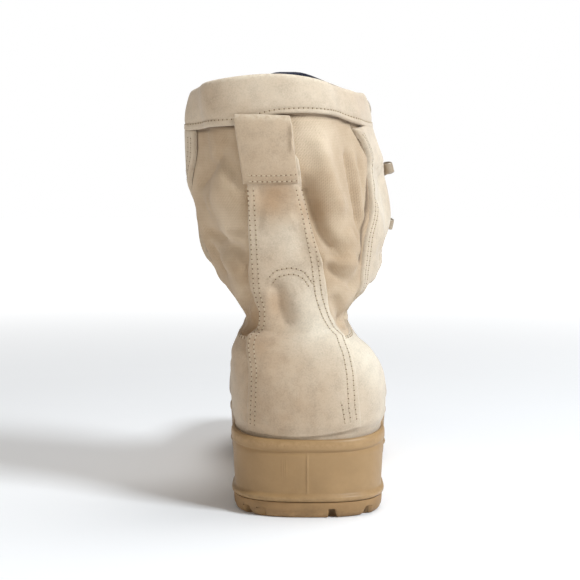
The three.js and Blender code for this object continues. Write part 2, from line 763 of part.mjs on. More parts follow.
// Eyelet: a flanged ring whose barrel passes through the wall.
function eyeletGeometry() {
  const barrelDepth = wall + stayThickness - 0.9;
  const points = [
    [eyeletBore, -barrelDepth],
    [eyeletBarrel, -barrelDepth],
    [eyeletBarrel, 0],
    [eyeletFlange, 0],
    [eyeletFlange - 0.5, flangeThickness],
    [eyeletBore, flangeThickness],
    [eyeletBore, -barrelDepth],
  ].map(([r, z]) => new THREE.Vector2(r, z));
  const ring = new THREE.LatheGeometry(points, roundSides);
  ring.rotateX(Math.PI / 2);
  return ring;
}

// Speed hook: a riveted foot, a post on the throat's side and a tongue of metal curled back over it.
function hookGeometry() {
  const t = 1.1;
  const profile = new THREE.Shape();
  const post = -0.5 * hookLength;
  const bend = 0.5 * hookStand;
  profile.moveTo(post + bend, 0);
  profile.lineTo(0.5 * hookLength - 2, 0);
  profile.lineTo(0.5 * hookLength - 2, t);
  profile.lineTo(post + bend, t);
  profile.absarc(post + bend, bend, bend - t, 1.5 * Math.PI, 0.5 * Math.PI, true);
  profile.lineTo(0.5 * hookLength - 1, hookStand - t + 0.3);
  profile.lineTo(0.5 * hookLength - 1, hookStand + 0.3);
  profile.lineTo(post + bend, hookStand);
  profile.absarc(post + bend, bend, bend, 0.5 * Math.PI, 1.5 * Math.PI, false);
  const body = new THREE.ExtrudeGeometry(profile, { depth: hookWidth - 2, bevelEnabled: false, curveSegments: 4 });
  body.translate(0, 0, -0.5 * (hookWidth - 2));
  body.rotateX(Math.PI / 2);
  const rivet = new THREE.CylinderGeometry(0.5 * hookWidth, 0.5 * hookWidth, t, roundSides);
  rivet.rotateX(Math.PI / 2);
  rivet.translate(0.5, 0, 0.5 * t);
  const cap = new THREE.CylinderGeometry(0.5 * hookWidth - 0.4, 0.5 * hookWidth, t, roundSides);
  cap.rotateX(Math.PI / 2);
  cap.translate(1.6, 0, hookStand - 0.35 * t);
  return geometryOf(unite([solidOf(body), solidOf(rivet), solidOf(cap)]));
}

// Lace: crossing bars over the lower eyelets, joined where they cross and where they turn at an eyelet.
function laceSolid() {
  const rows = hardwareRows.filter((row) => row.kind === "eyelet").toReversed();
  const lift = stayThickness + flangeThickness + laceRadius + 2.2;
  const barSteps = 5;
  const bar = (from, to) => {
    const spots = [];
    for (let i = 0; i <= barSteps; i++) {
      const f = i / barSteps;
      spots.push(proud(lerp(from.u, to.u, f), lerp(from.v, to.v, f), lift));
    }
    const section = new THREE.Shape();
    section.absarc(0, 0, laceRadius, 0, tau, false);
    return solidOf(
      new THREE.ExtrudeGeometry(section, {
        steps: barSteps,
        curveSegments: 3,
        extrudePath: new THREE.CatmullRomCurve3(spots),
      }),
    );
  };
  const spot = (i, side) => hardwareSpot(side, rows[i].below);
  const knuckle = (i, side) => {
    const ball = new THREE.SphereGeometry(laceRadius * 1.2, 6, 3);
    ball.translate(...proud(spot(i, side).u, spot(i, side).v, lift).toArray());
    return solidOf(ball);
  };
  const bars = [bar(spot(0, 1), spot(0, -1))];
  for (let i = 0; i + 1 < rows.length; i++) {
    bars.push(bar(spot(i, 1), spot(i + 1, -1)), bar(spot(i, -1), spot(i + 1, 1)));
  }
  const knuckles = rows.flatMap((_, i) => [knuckle(i, 1), knuckle(i, -1)]);
  return unite([...bars, ...knuckles]);
}

const finish = (color, roughness, metalness = 0) => new THREE.MeshStandardMaterial({ color, roughness, metalness });
const finishes = {
  suede: finish(0xcdb998, 0.95),
  foxing: finish(0xac8b60, 0.6),
  rubber: finish(0xa68250, 0.7),
  hardware: finish(0x9c8b76, 0.45, 0.4),
  lining: finish(0x22232d, 0.95),
  cord: finish(0xb39e7c, 0.9),
  foam: finish(0x2b2b30, 0.9),
};

const boot = new THREE.Group();
function place(name, geometry, material, matrix) {
  const mesh = new THREE.Mesh(geometry, material);
  mesh.name = name;
  if (matrix) mesh.applyMatrix4(matrix);
  mesh.position.y -= heelMiddle;
  boot.add(mesh);
}

place("outsole", geometryOf(outsoleSolid()), finishes.rubber);
place("midsole", geometryOf(midsoleSolid()), finishes.foxing);
place("insole", geometryOf(insoleSolid()), finishes.foam);
place("upper", geometryOf(upperSolid()), finishes.suede);
place("tongue", geometryOf(tongueSolid()), finishes.lining);
place("pull_loop", geometryOf(pullLoopSolid()), finishes.suede);
place("lace", geometryOf(laceSolid()), finishes.cord);
for (const { name, sign } of sides) {
  eyeletRows.forEach((row, i) => {
    const label = row.kind === "collar_eyelet" ? `collar_eyelet_${name}` : `eyelet_${name}_${i}`;
    place(label, eyeletGeometry(), finishes.hardware, seatFrame(row, sign));
  });
  hookRows.forEach((row, i) => {
    place(`hook_${name}_${i + 1}`, hookGeometry(), finishes.hardware, seatFrame(row, sign));
  });
}

export default boot;
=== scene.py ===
"""A right combat boot with a slack shaft, seen from behind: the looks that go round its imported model.

All shapes are worked out in millimetres and become metres as they enter a mesh. +Y runs to the toe, +X to the
outer side, +Z up, and the origin lies on the floor under the middle of the heel.
"""

import logging
import math
from collections.abc import Callable, Sequence
from dataclasses import dataclass, field
from enum import Enum
from typing import NamedTuple

import bmesh
import bpy
import numpy as np
from mathutils import Matrix, Vector


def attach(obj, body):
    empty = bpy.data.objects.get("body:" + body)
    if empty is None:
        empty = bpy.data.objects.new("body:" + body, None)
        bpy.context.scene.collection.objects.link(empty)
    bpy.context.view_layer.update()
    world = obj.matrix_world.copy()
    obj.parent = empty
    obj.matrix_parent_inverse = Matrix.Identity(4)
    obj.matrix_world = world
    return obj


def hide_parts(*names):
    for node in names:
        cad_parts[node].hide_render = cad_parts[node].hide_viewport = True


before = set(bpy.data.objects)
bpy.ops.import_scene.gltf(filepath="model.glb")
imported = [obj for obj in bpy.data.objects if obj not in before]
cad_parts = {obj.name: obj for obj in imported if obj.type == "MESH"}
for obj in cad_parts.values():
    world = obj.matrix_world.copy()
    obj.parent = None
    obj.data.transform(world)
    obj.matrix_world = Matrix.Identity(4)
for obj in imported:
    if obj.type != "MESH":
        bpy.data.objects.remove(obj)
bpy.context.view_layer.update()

MM = 0.001
TAU = 2.0 * math.pi
Array = np.ndarray
Socket = bpy.types.NodeSocket
Piece = bpy.types.Object
Material = bpy.types.Material
Colour = tuple[float, float, float, float]
log = logging.getLogger("boot")


def lerp(a: Array | float, b: Array | float, f: Array | float) -> Array | float:
    """Mix of a and b: a where f is 0, b where f is 1."""
    return a + (b - a) * f


def clamp01(f: Array | float) -> Array:
    """Keep f between 0 and 1."""
    return np.clip(f, 0.0, 1.0)


def ease(f: Array | float) -> Array:
    """Smooth step: 3 f squared less 2 f cubed, with f kept between 0 and 1."""
    f = clamp01(f)
    return f * f * (3.0 - 2.0 * f)


def unit(vectors: Array) -> Array:
    """Scale the vectors of the last axis to length 1."""
    length = np.linalg.norm(vectors, axis=-1, keepdims=True)
    return vectors / np.maximum(length, 1e-12)


def walked_along(line: Array) -> Array:
    """Distance walked along a line from its first point to each of its points."""
    return np.concatenate([[0.0], np.cumsum(np.linalg.norm(np.diff(line, axis=0), axis=1))])


def paired(a: Array | float, b: Array | float) -> list[Array]:
    """Both as arrays of figures, spread to one shape."""
    return np.broadcast_arrays(np.asarray(a, float), np.asarray(b, float))


def bell(distance: Array, width: float) -> Array:
    """Bell curve: e to the minus square of distance / width."""
    return np.exp(-((distance / width) ** 2))


class Through:
    """Monotone cubic through a short table, so that a line never swells past its own values."""

    def __init__(self, ats: Array | list[float], values: Array | list[float]) -> None:
        """Work out a tangent for each row: the harmonic mean of its two slopes, or 0 where they turn.

        Args:
            ats: Rising places of the rows.
            values: One value, or one row of values, for each place.
        """
        self.ats = np.asarray(ats, float)
        table = np.asarray(values, float)
        self.single = table.ndim == 1
        self.values = table.reshape(len(self.ats), -1)
        slopes = np.diff(self.values, axis=0) / np.diff(self.ats)[:, None]
        before, after = slopes[:-1], slopes[1:]
        total = np.where(before * after > 0.0, before + after, 1.0)
        inner = np.where(before * after > 0.0, 2.0 * before * after / total, 0.0)
        self.tangents = np.vstack([slopes[:1], inner, slopes[-1:]])

    def __call__(self, x: Array | float) -> Array:
        """Read the curve at x; past the last row it goes on straight.

        Args:
            x: Places to read at.

        Returns:
            The values there, with one more axis where the table has rows of values.
        """
        x = np.asarray(x, float)
        last = len(self.ats) - 1
        i = np.clip(np.searchsorted(self.ats, x, side="left") - 1, 0, last - 1)
        h = (self.ats[i + 1] - self.ats[i])[..., None]
        f = clamp01((x - self.ats[i])[..., None] / h)
        beyond = np.maximum(x - self.ats[last], 0.0)[..., None] * self.tangents[last]
        f2, f3 = f * f, f * f * f
        value = (
            (2 * f3 - 3 * f2 + 1) * self.values[i]
            + (f3 - 2 * f2 + f) * h * self.tangents[i]
            + (3 * f2 - 2 * f3) * self.values[i + 1]
            + (f3 - f2) * h * self.tangents[i + 1]
            + beyond
        )
        return value[..., 0] if self.single else value


@dataclass(frozen=True)
class SoleSizes:
    """Driving sizes of the sole, in millimetres."""

    length: float = 304.0
    heel_width: float = 90.0
    waist_width: float = 76.0
    ball_width: float = 110.0
    toe_swing: float = 9.0
    heel_height: float = 44.5
    forefoot_height: float = 36.0
    toe_spring: float = 11.0
    arch_rise: float = 6.5
    tread: float = 9.2
    groove_depth: float = 4.6
    groove_width: float = 3.4
    rim_wall: float = 2.6
    seat_depth: float = 7.5
    gap: float = 0.35
    heel_middle: float = 40.0


@dataclass(frozen=True)
class UpperSizes:
    """Driving sizes of the upper, in millimetres."""

    rise: float = 201.0
    shaft_width: float = 114.0
    ankle_width: float = 60.0
    shaft_depth: float = 96.0
    shaft_lean: float = 25.0
    shaft_twist: float = 13.0
    collar_dip: float = 6.0


class TopRow(NamedTuple):
    """Top of the foxing: place along the sole, and shares of heel height, forefoot height and toe spring."""

    at: float
    heel: float
    fore: float
    spring: float


class UnderRow(NamedTuple):
    """Underside of the sole: place along it, and shares of the arch's rise and the toe spring."""

    at: float
    arch: float
    spring: float


TOP_ROWS = tuple(
    TopRow(*row)
    for row in (
        (0.0, 1.0, 0.0, 0.0), (0.1, 1.06, 0.0, 0.0), (0.22, 1.06, 0.0, 0.0), (0.42, 0.5, 0.54, 0.0),
        (0.62, 0.0, 1.0, 0.0), (0.8, 0.0, 1.0, 0.15), (1.0, 0.0, 0.98, 1.0),
    )
)
UNDER_ROWS = tuple(
    UnderRow(*row)
    for row in (
        (0.0, 0.0, 0.0), (0.27, 0.0, 0.0), (0.335, 1.0, 0.0), (0.42, 1.0, 0.0), (0.485, 0.0, 0.0),
        (0.72, 0.0, 0.0), (0.86, 0.0, 0.32), (1.0, 0.0, 1.0),
    )
)


class Section(NamedTuple):
    """A loop of the upper: rise at back and front, ends, three shares of half width a side, and turn."""

    rise_back: float
    rise_front: float
    back: float
    front: float
    medial: tuple[float, float, float]
    lateral: tuple[float, float, float]
    lean: float
    turn: float
    dip: float
    nose: float
    inset: float = 0.0


# Shares of the rise, sole length, the sole's half widths, the lean, the toe's swing and the collar's dip.
FOOT_SECTIONS = (
    Section(-0.035, -0.035, 0.0, 1.0, (1, 1, 1), (1, 1, 1), 0.0, 1.0, 0.0, 0.34, 1.0),
    Section(0.006, 0.006, 0.0, 1.0, (1, 1, 1), (1, 1, 1), 0.0, 1.0, 0.0, 0.34, 1.0),
    Section(0.045, 0.045, 0.001, 0.999, (0.98, 0.999, 0.999), (1, 1, 1), 0.0, 1.0, 0.0, 0.34, 0.2),
    Section(0.109, 0.104, 0.0, 0.98, (0.98, 1.04, 0.97), (0.99, 0.99, 0.95), 0.0, 1.0, 0.0, 0.35),
    Section(0.149, 0.144, 0.002, 0.931, (0.97, 1.04, 0.88), (0.98, 0.98, 0.87), 0.02, 0.95, 0.0, 0.4),
    Section(0.179, 0.179, 0.005, 0.842, (0.96, 1.02, 0.79), (0.94, 0.96, 0.78), 0.04, 0.8, 0.0, 0.46),
    Section(0.199, 0.219, 0.01, 0.714, (0.92, 0.99, 0.68), (0.91, 0.91, 0.66), 0.08, 0.6, 0.25, 0.46),
    Section(0.224, 0.279, 0.016, 0.605, (0.87, 0.97, 0.56), (0.87, 0.86, 0.54), 0.16, 0.4, 0.5, 0.42),
    Section(0.244, 0.343, 0.023, 0.52, (0.79, 0.91, 0.51), (0.78, 0.79, 0.48), 0.24, 0.2, 0.75, 0.38),
    Section(0.269, 0.408, 0.031, 0.454, (0.7, 0.85, 0.5), (0.69, 0.74, 0.47), 0.3, 0.0, 1.0, 0.36),
)
# Shares of the rise, shaft depth, half the ankle's or the shaft's width, the lean, the twist and the dip.
SHAFT_SECTIONS = (
    Section(0.294, 0.473, 0.125, 1.271, (0.93, 1, 0.9), (0.93, 1, 0.93), 0.33, 0.23, 1.08, 0.36),
    Section(0.383, 0.547, 0.115, 1.198, (0.61, 0.75, 0.74), (0.65, 0.82, 0.86), 0.4, 0.38, 1.0, 0.34),
    Section(0.512, 0.657, 0.094, 1.156, (0.67, 0.95, 0.91), (0.7, 0.96, 1.01), 0.52, 0.62, 0.5, 0.33),
    Section(0.657, 0.781, 0.073, 1.135, (0.68, 1, 0.93), (0.67, 0.89, 0.93), 0.66, 0.85, 0.0, 0.33),
    Section(0.816, 0.91, 0.062, 1.115, (0.67, 0.96, 0.91), (0.65, 0.82, 0.83), 0.82, 0.92, 0.17, 0.34),
    Section(0.995, 1.005, 0.052, 1.094, (0.65, 0.82, 0.81), (0.63, 0.79, 0.81), 1.0, 1.0, 1.0, 0.36),
)


class SoleForm:
    """The sole's outline and side lines, worked out from its sizes."""

    MEDIAL_STATIONS = (0.17, 0.4, 0.7)
    LATERAL_STATIONS = (0.17, 0.42, 0.65)
    CAP = (0.14, 2.7, 0.34, 2.2)

    def __init__(self, sizes: SoleSizes) -> None:
        """Tie the side lines and half widths to the sizes.

        Args:
            sizes: The sole's driving sizes.
        """
        self.sizes = sizes
        s = sizes
        top = [
            r.heel * s.heel_height + r.fore * s.forefoot_height + r.spring * s.toe_spring for r in TOP_ROWS
        ]
        under = [r.arch * s.arch_rise + r.spring * s.toe_spring for r in UNDER_ROWS]
        self.top_line = Through([r.at for r in TOP_ROWS], top)
        self.under_line = Through([r.at for r in UNDER_ROWS], under)
        self.medial = np.array([0.5 * s.heel_width, 0.47 * s.waist_width, 0.475 * s.ball_width])
        self.lateral = np.array([0.5 * s.heel_width, 0.53 * s.waist_width, 0.525 * s.ball_width])

    def rim(self, y: Array) -> Array:
        """Height of the foxing's top at y millimetres from the sole's back."""
        return self.top_line(clamp01(y / self.sizes.length))

    def tread(self, y: Array) -> Array:
        """Height of the outsole's underside at y."""
        return self.under_line(clamp01(y / self.sizes.length))

    def underside(self, y: Array) -> Array:
        """Height of the midsole's underside at y."""
        return self.tread(y) + self.sizes.tread

    @staticmethod
    def loop(
        u: Array, ends: Array, medial: Array, lateral: Array, lean: Array, swing: Array, cap: Array
    ) -> Array:
        """Points of a closed loop: half widths eased from heel to waist to ball, rounded at each end.

        The share t along the loop is half of 1 less the cosine of the turn, and the loop's middle line runs
        from the lean by the swing times the eased t.

        Args:
            u: Turn round the loop: 0 at the back, a quarter on the outer side, a half at the front.
            ends: Back and front end along Y, on the last axis.
            medial: Three half widths of the inner side, on the last axis.
            lateral: Three half widths of the outer side.
            lean: Sideways place of the loop's back.
            swing: Sideways turn of its front.
            cap: Length and power of the back cap, then of the front cap.

        Returns:
            X, Y and t on the last axis.
        """
        turn = u * TAU
        t = (1.0 - np.cos(turn)) / 2.0
        outer = (np.sin(turn) >= 0.0)[..., None]
        half = np.where(outer, lateral, medial)
        station = np.where(outer, SoleForm.LATERAL_STATIONS, SoleForm.MEDIAL_STATIONS)
        to_waist = ease((t - station[..., 0]) / (station[..., 1] - station[..., 0]))
        to_ball = ease((t - station[..., 1]) / (station[..., 2] - station[..., 1]))
        rear = lerp(half[..., 0], half[..., 1], to_waist)
        fore = lerp(half[..., 1], half[..., 2], to_ball)
        body = np.where(t < station[..., 1], rear, fore)

        def rounded(f: Array, power: Array) -> Array:
            """Share of the width inside a cap: a superellipse of the given power."""
            return np.maximum(0.0, 1.0 - (1.0 - clamp01(f)) ** power) ** (1.0 / power)

        width = body * rounded(t / cap[..., 0], cap[..., 1]) * rounded((1.0 - t) / cap[..., 2], cap[..., 3])
        x = lean + swing * ease(t) + np.where(outer[..., 0], width, -width)
        y = lerp(ends[..., 0], ends[..., 1], t)
        return np.stack([x, y, t], axis=-1)

    def outline(self, u: Array, out: Array | float) -> Array:
        """X and Y of the sole's outline at turn u, grown by out; Y is from the sole's back.

        Args:
            u: Turns.
            out: Growth in millimetres.

        Returns:
            X and Y on the last axis.
        """
        u, out = paired(u, out)
        ends = np.stack([-out, self.sizes.length + out], axis=-1)
        cap = np.broadcast_to(np.array(self.CAP), u.shape + (4,))
        medial = self.medial + out[..., None]
        lateral = self.lateral + out[..., None]
        swing = np.full(u.shape, -self.sizes.toe_swing)
        return self.loop(u, ends, medial, lateral, np.zeros(u.shape), swing, cap)[..., :2]

    def framed(self, points: Array) -> Array:
        """Move points from the sole's back to the boot's own origin under the heel."""
        return points - np.array([0.0, self.sizes.heel_middle, 0.0])


class UpperForm:
    """The upper's outer skin as a function of a signed turn round it and a level up it, with its soft folds.

    The turn is 0 at the back, positive on the outer side and a half at the front; the level counts the
    sections.
    """

    TURNS = 961
    STEP = 0.05
    HALVINGS = 22

    def __init__(self, sole: SoleForm, sizes: UpperSizes) -> None:
        """Make the flow of the sections, and tables of walked distance over the skin.

        Args:
            sole: The sole that the upper stands in.
            sizes: The upper's driving sizes.
        """
        self.sole = sole
        self.sizes = sizes
        rows = [self._foot_row(r) for r in FOOT_SECTIONS] + [
            self._shaft_row(i, r) for i, r in enumerate(SHAFT_SECTIONS)
        ]
        self.top = float(len(rows) - 1)
        self.flow = Through(np.arange(len(rows)), np.array(rows))
        self.levels = np.linspace(0.0, self.top, int(round(self.top / self.STEP)) + 1)
        self.turns = np.linspace(-0.5, 0.5, self.TURNS)
        skin = self.surface(self.turns[None, :], self.levels[:, None])
        across = np.linalg.norm(np.diff(skin, axis=1), axis=-1)
        walked = np.concatenate([np.zeros((len(self.levels), 1)), np.cumsum(across, axis=1)], axis=1)
        self.arc = walked - walked[:, self.TURNS // 2 : self.TURNS // 2 + 1]
        up = np.linalg.norm(np.diff(skin, axis=0), axis=-1)
        climbed = np.concatenate([np.zeros((1, self.TURNS)), np.cumsum(up, axis=0)], axis=0)
        self.drop = climbed[-1:] - climbed
        self.relief = np.zeros(skin.shape[:2])

    def _foot_row(self, row: Section) -> list[float]:
        """Real sizes of a section in the foot, as one row of the flow.

        Args:
            row: The section, in shares.

        Returns:
            Seventeen figures of the flow.
        """
        s = self.sole.sizes
        u = self.sizes
        inset = row.inset * (s.rim_wall + 0.2 + s.gap)
        medial = np.array(row.medial) * self.sole.medial - inset
        lateral = np.array(row.lateral) * self.sole.lateral - inset
        ends = [row.back * s.length + inset, row.front * s.length - inset]
        sway = [-row.lean * u.shaft_lean, -row.turn * s.toe_swing]
        rises = [row.rise_back * u.rise, row.rise_front * u.rise]
        return [*rises, *ends, *sway, row.dip * u.collar_dip, *medial, *lateral, 0.15, 2.4, row.nose, 2.15]

    def _shaft_row(self, index: int, row: Section) -> list[float]:
        """Real sizes of a section in the shaft: the first by the ankle's width, the others by the shaft's.

        Args:
            index: Place among the shaft's sections.
            row: The section, in shares.

        Returns:
            Seventeen figures of the flow.
        """
        u = self.sizes
        half = 0.5 * (u.ankle_width if index == 0 else u.shaft_width)
        medial = np.array(row.medial) * half
        lateral = np.array(row.lateral) * half
        ends = [row.back * u.shaft_depth, row.front * u.shaft_depth]
        sway = [-row.lean * u.shaft_lean, row.turn * u.shaft_twist]
        rises = [row.rise_back * u.rise, row.rise_front * u.rise]
        return [*rises, *ends, *sway, row.dip * u.collar_dip, *medial, *lateral, 0.25, 2.4, row.nose, 2.5]

    def surface(self, u: Array, v: Array) -> Array:
        """Bare outer skin, without folds: loops stand on the foxing's top by their rise, and dip.

        Args:
            u: Signed turns.
            v: Levels, of a shape that goes with u.

        Returns:
            Points in millimetres, from the boot's origin.
        """
        u, v = paired(u, v)
        row = self.flow(v)
        spot = SoleForm.loop(
            u, row[..., 2:4], row[..., 7:10], row[..., 10:13], row[..., 4], row[..., 5], row[..., 13:17]
        )
        x, y, t = spot[..., 0], spot[..., 1], spot[..., 2]
        rise = lerp(row[..., 0], row[..., 1], t) - row[..., 6] * 4.0 * t * (1.0 - t)
        return self.sole.framed(np.stack([x, y, self.sole.rim(y) + rise], axis=-1))

    def normal(self, u: Array, v: Array) -> Array:
        """Outward unit normal of the bare skin, from central differences.

        Args:
            u: Signed turns.
            v: Levels.

        Returns:
            Vectors of length 1.
        """
        du, dv = 2e-3, 2e-2
        level = np.clip(v, dv, self.top - dv)
        along = self.surface(u + du, v) - self.surface(u - du, v)
        up = self.surface(u, level + dv) - self.surface(u, level - dv)
        return unit(np.cross(along, up))

    def read(self, table: Array, u: Array, v: Array) -> Array:
        """Read a table over turn and level between its entries, straight both ways.

        Args:
            table: Figures over the levels and turns.
            u: Signed turns.
            v: Levels.

        Returns:
            The figures there.
        """
        u, v = np.broadcast_arrays(u, v)
        x = np.clip((u + 0.5) * (self.TURNS - 1), 0.0, self.TURNS - 1.001)
        y = np.clip(v / self.STEP, 0.0, len(self.levels) - 1.001)
        i, j = x.astype(int), y.astype(int)
        fx, fy = x - i, y - j
        low = lerp(table[j, i], table[j, i + 1], fx)
        high = lerp(table[j + 1, i], table[j + 1, i + 1], fx)
        return lerp(low, high, fy)

    def turn_at(self, arc: Array, v: Array) -> Array:
        """Signed turn whose walked distance from the back, at level v, is arc; found by halving.

        Args:
            arc: Walked distances from the back line.
            v: Levels.

        Returns:
            Signed turns.
        """
        arc, v = paired(arc, v)
        low = np.full(arc.shape, -0.5)
        high = np.full(arc.shape, 0.5)
        for _ in range(self.HALVINGS):
            middle = 0.5 * (low + high)
            short = self.read(self.arc, middle, v) < arc
            low = np.where(short, middle, low)
            high = np.where(short, high, middle)
        return 0.5 * (low + high)

    def turn_from_front(self, side: int, distance: Array, v: Array) -> Array:
        """Signed turn at a walked distance from the front line, on side +1 (outer) or -1 (inner)."""
        end = self.read(self.arc, np.asarray(0.5 * side), v)
        return self.turn_at(end - side * distance, v)

    def level_below(self, u: Array, distance: Array) -> Array:
        """Level at a walked distance below the collar's edge over turn u, found by halving.

        Args:
            u: Signed turns.
            distance: Millimetres below the collar's edge.

        Returns:
            Levels.
        """
        u, distance = paired(u, distance)
        low = np.zeros(u.shape)
        high = np.full(u.shape, self.top)
        for _ in range(self.HALVINGS):
            middle = 0.5 * (low + high)
            under = self.read(self.drop, u, middle) >= distance
            low = np.where(under, middle, low)
            high = np.where(under, high, middle)
        return 0.5 * (low + high)

    def skin(self, u: Array, v: Array, out: Array | float) -> Array:
        """Points that stand out of the folded skin; a negative figure lies inside the wall."""
        lift = self.read(self.relief, u, v) + out
        return self.surface(u, v) + self.normal(u, v) * lift[..., None]

    def place(self, u: Array, drop: Array, out: Array | float) -> Array:
        """Points by walked distance below the collar; above it they go on straight along the skin.

        Args:
            u: Signed turns.
            drop: Millimetres below the collar's edge; negative figures stand above it.
            out: Millimetres out of the skin.

        Returns:
            Points in millimetres.
        """
        u, drop, out = np.broadcast_arrays(u, drop, out)
        points = self.skin(u, self.level_below(u, np.maximum(drop, 0.0)), out)
        top = np.full(u.shape, self.top)
        up = unit(self.surface(u, top) - self.surface(u, top - 0.1))
        return points + up * np.maximum(-drop, 0.0)[..., None]

    def spot(self, arc: Array, drop: Array) -> tuple[Array, Array]:
        """Turn and level of a point given by its walked distance from the back line and below the collar.

        Args:
            arc: Walked distances from the back line.
            drop: The same below the collar.

        Returns:
            Turns and levels.
        """
        arc, drop = paired(arc, drop)
        v = self.level_below(np.zeros(arc.shape), drop)
        for _ in range(3):
            u = self.turn_at(arc, v)
            v = self.level_below(u, drop)
        return u, v


class Throat:
    """The throat's half width, walked from the front line, from its base over the instep to the collar."""

    BASE = 6.2
    HALF = ((6.2, 10.0), (8.0, 14.0), (10.3, 27.0), (12.2, 42.0), (15.0, 39.0))

    def __init__(self, form: UpperForm) -> None:
        """Tie the throat to the upper.

        Args:
            form: The upper's skin.
        """
        self.form = form
        self.width = Through([row[0] for row in self.HALF], [row[1] for row in self.HALF])

    def edge(self, side: int, v: Array, beyond: Array | float = 0.0) -> Array:
        """Signed turn of the throat's edge at level v, or of a line that lies further back by `beyond`."""
        level = np.minimum(v, self.form.top)
        return self.form.turn_from_front(side, self.width(v) + beyond, level)


class Fold(NamedTuple):
    """A soft ridge (rise above 0) or trough: places walked from the back line and below the collar.

    The places are shares of the shaft's width and of the upper's rise; width is in millimetres, and sharp is
    the power of its cross section, 2 for a round one and less for a pinched one.
    """

    places: tuple[tuple[float, float], ...]
    rise: float
    width: float
    sharp: float = 2.0


FOLDS = (
    # Deep hollow beside the backstay on the outer side, the roll next to it, and the pinched crease in front.
    Fold(((0.137, 0.25), (0.15, 0.3), (0.168, 0.36), (0.195, 0.42), (0.25, 0.465), (0.342, 0.49)), -7.4, 4.8),
    Fold(((0.228, 0.124), (0.255, 0.234), (0.285, 0.313), (0.342, 0.388)), 4.6, 6.0),
    Fold(((0.454, 0.159), (0.469, 0.276), (0.478, 0.356), (0.473, 0.438)), -4.2, 2.6, 1.4),
    Fold(((0.509, 0.169), (0.518, 0.279), (0.513, 0.398)), 1.4, 3.0),
    Fold(((0.548, 0.179), (0.561, 0.294), (0.544, 0.388)), -2.0, 3.0),
    Fold(((0.149, 0.483), (0.272, 0.507), (0.421, 0.512)), 3.2, 4.6),
    Fold(((0.184, 0.502), (0.276, 0.552), (0.421, 0.582)), -4.2, 3.8, 1.6),
    Fold(((0.333, 0.418), (0.404, 0.458), (0.474, 0.478)), 1.8, 4.0),
    Fold(
        ((0.54, 0.1), (0.6, 0.149), (0.67, 0.204), (0.61, 0.279), (0.572, 0.348), (0.488, 0.428)), -1.5, 1.8
    ),
    Fold(((0.11, 0.114), (0.1, 0.154), (0.093, 0.204)), 1.3, 0.9),
    Fold(((0.72, 0.17), (0.76, 0.36), (0.72, 0.6)), -3.0, 13.0),
    Fold(((0.89, 0.2), (0.915, 0.34), (0.92, 0.43), (0.88, 0.54)), -6.5, 12.0),
    Fold(((0.404, 0.597), (0.579, 0.667), (0.754, 0.687)), -2.6, 10.0),
    # Inner side: a slack bulge with slanting creases above and below it.
    Fold(((-0.263, 0.169), (-0.298, 0.212), (-0.454, 0.247), (-0.579, 0.289)), -3.8, 3.6, 1.6),
    Fold(((-0.193, 0.249), (-0.351, 0.308), (-0.509, 0.348)), 3.6, 9.5),
    Fold(((-0.579, 0.398), (-0.377, 0.441), (-0.167, 0.483)), -4.4, 3.8, 1.6),
    Fold(((-0.553, 0.438), (-0.495, 0.482), (-0.386, 0.542)), -3.4, 3.4, 1.6),
    Fold(((-0.316, 0.408), (-0.167, 0.418)), -1.8, 2.6, 1.6),
    Fold(((-0.456, 0.483), (-0.298, 0.517), (-0.193, 0.537)), 2.2, 5.0),
    Fold(((-0.193, 0.577), (-0.268, 0.638), (-0.333, 0.692)), -3.4, 4.4),
    Fold(((-0.211, 0.119), (-0.237, 0.219), (-0.211, 0.299)), -1.6, 4.0),
    # Ankle on the outer side, and the shaft's sides further forward.
    Fold(((0.211, 0.592), (0.275, 0.662), (0.386, 0.705)), -3.6, 4.4),
    Fold(((0.579, 0.458), (0.684, 0.498), (0.807, 0.517)), -2.6, 4.2, 1.6),
    Fold(((0.526, 0.567), (0.649, 0.597), (0.807, 0.602)), -2.6, 4.2, 1.6),
    Fold(((0.614, 0.299), (0.737, 0.328), (0.842, 0.318)), -1.8, 4.6, 1.8),
    Fold(((-0.561, 0.507), (-0.684, 0.537), (-0.825, 0.527)), -2.6, 4.2, 1.6),
    Fold(((-0.509, 0.597), (-0.632, 0.622), (-0.789, 0.607)), -2.4, 4.2, 1.6),
    Fold(((-0.614, 0.318), (-0.737, 0.348), (-0.86, 0.338)), -1.8, 4.6, 1.8),
    # Backstay: waves under the loop, the dent over the heel between two soft ridges.
    Fold(((-0.123, 0.313), (-0.0175, 0.323), (0.105, 0.308)), -1.5, 5.0),
    Fold(((-0.105, 0.383), (0, 0.393), (0.0877, 0.378)), 1.3, 7.0),
    Fold(((0.0702, 0.398), (0.0877, 0.458), (0.105, 0.507)), -1.5, 4.6),
    Fold(((-0.07, 0.55), (-0.05, 0.62), (-0.015, 0.7)), -3.2, 4.4),
    Fold(((-0.0877, 0.567), (-0.114, 0.657), (-0.158, 0.746)), 1.2, 5.0),
    Fold(((0.035, 0.56), (0.07, 0.655), (0.11, 0.746)), 1.9, 7.0),
    # Vamp: soft creases over the ball and at the throat's base, and faint sags at the heel.
    Fold(((-0.202, 0.796), (0, 0.821), (0.202, 0.786)), -0.5, 7.0),
    Fold(((-0.0965, 0.9), (0.0614, 0.871)), 0.5, 7.0),
)


class Finish(Enum):
    """The boot's finishes, by the name of the record's material slot that each one belongs to."""

    RUBBER = "outsole_rubber"
    FOXING = "foxing"
    INSOLE = "insole"
    SUEDE = "suede"
    NYLON = "nylon"
    TAB = "suede_tab"
    LINING = "lining"
    HARDWARE = "hardware"
    LACE = "lace"
    THREAD = "thread"
    HOLE = "needle_hole"


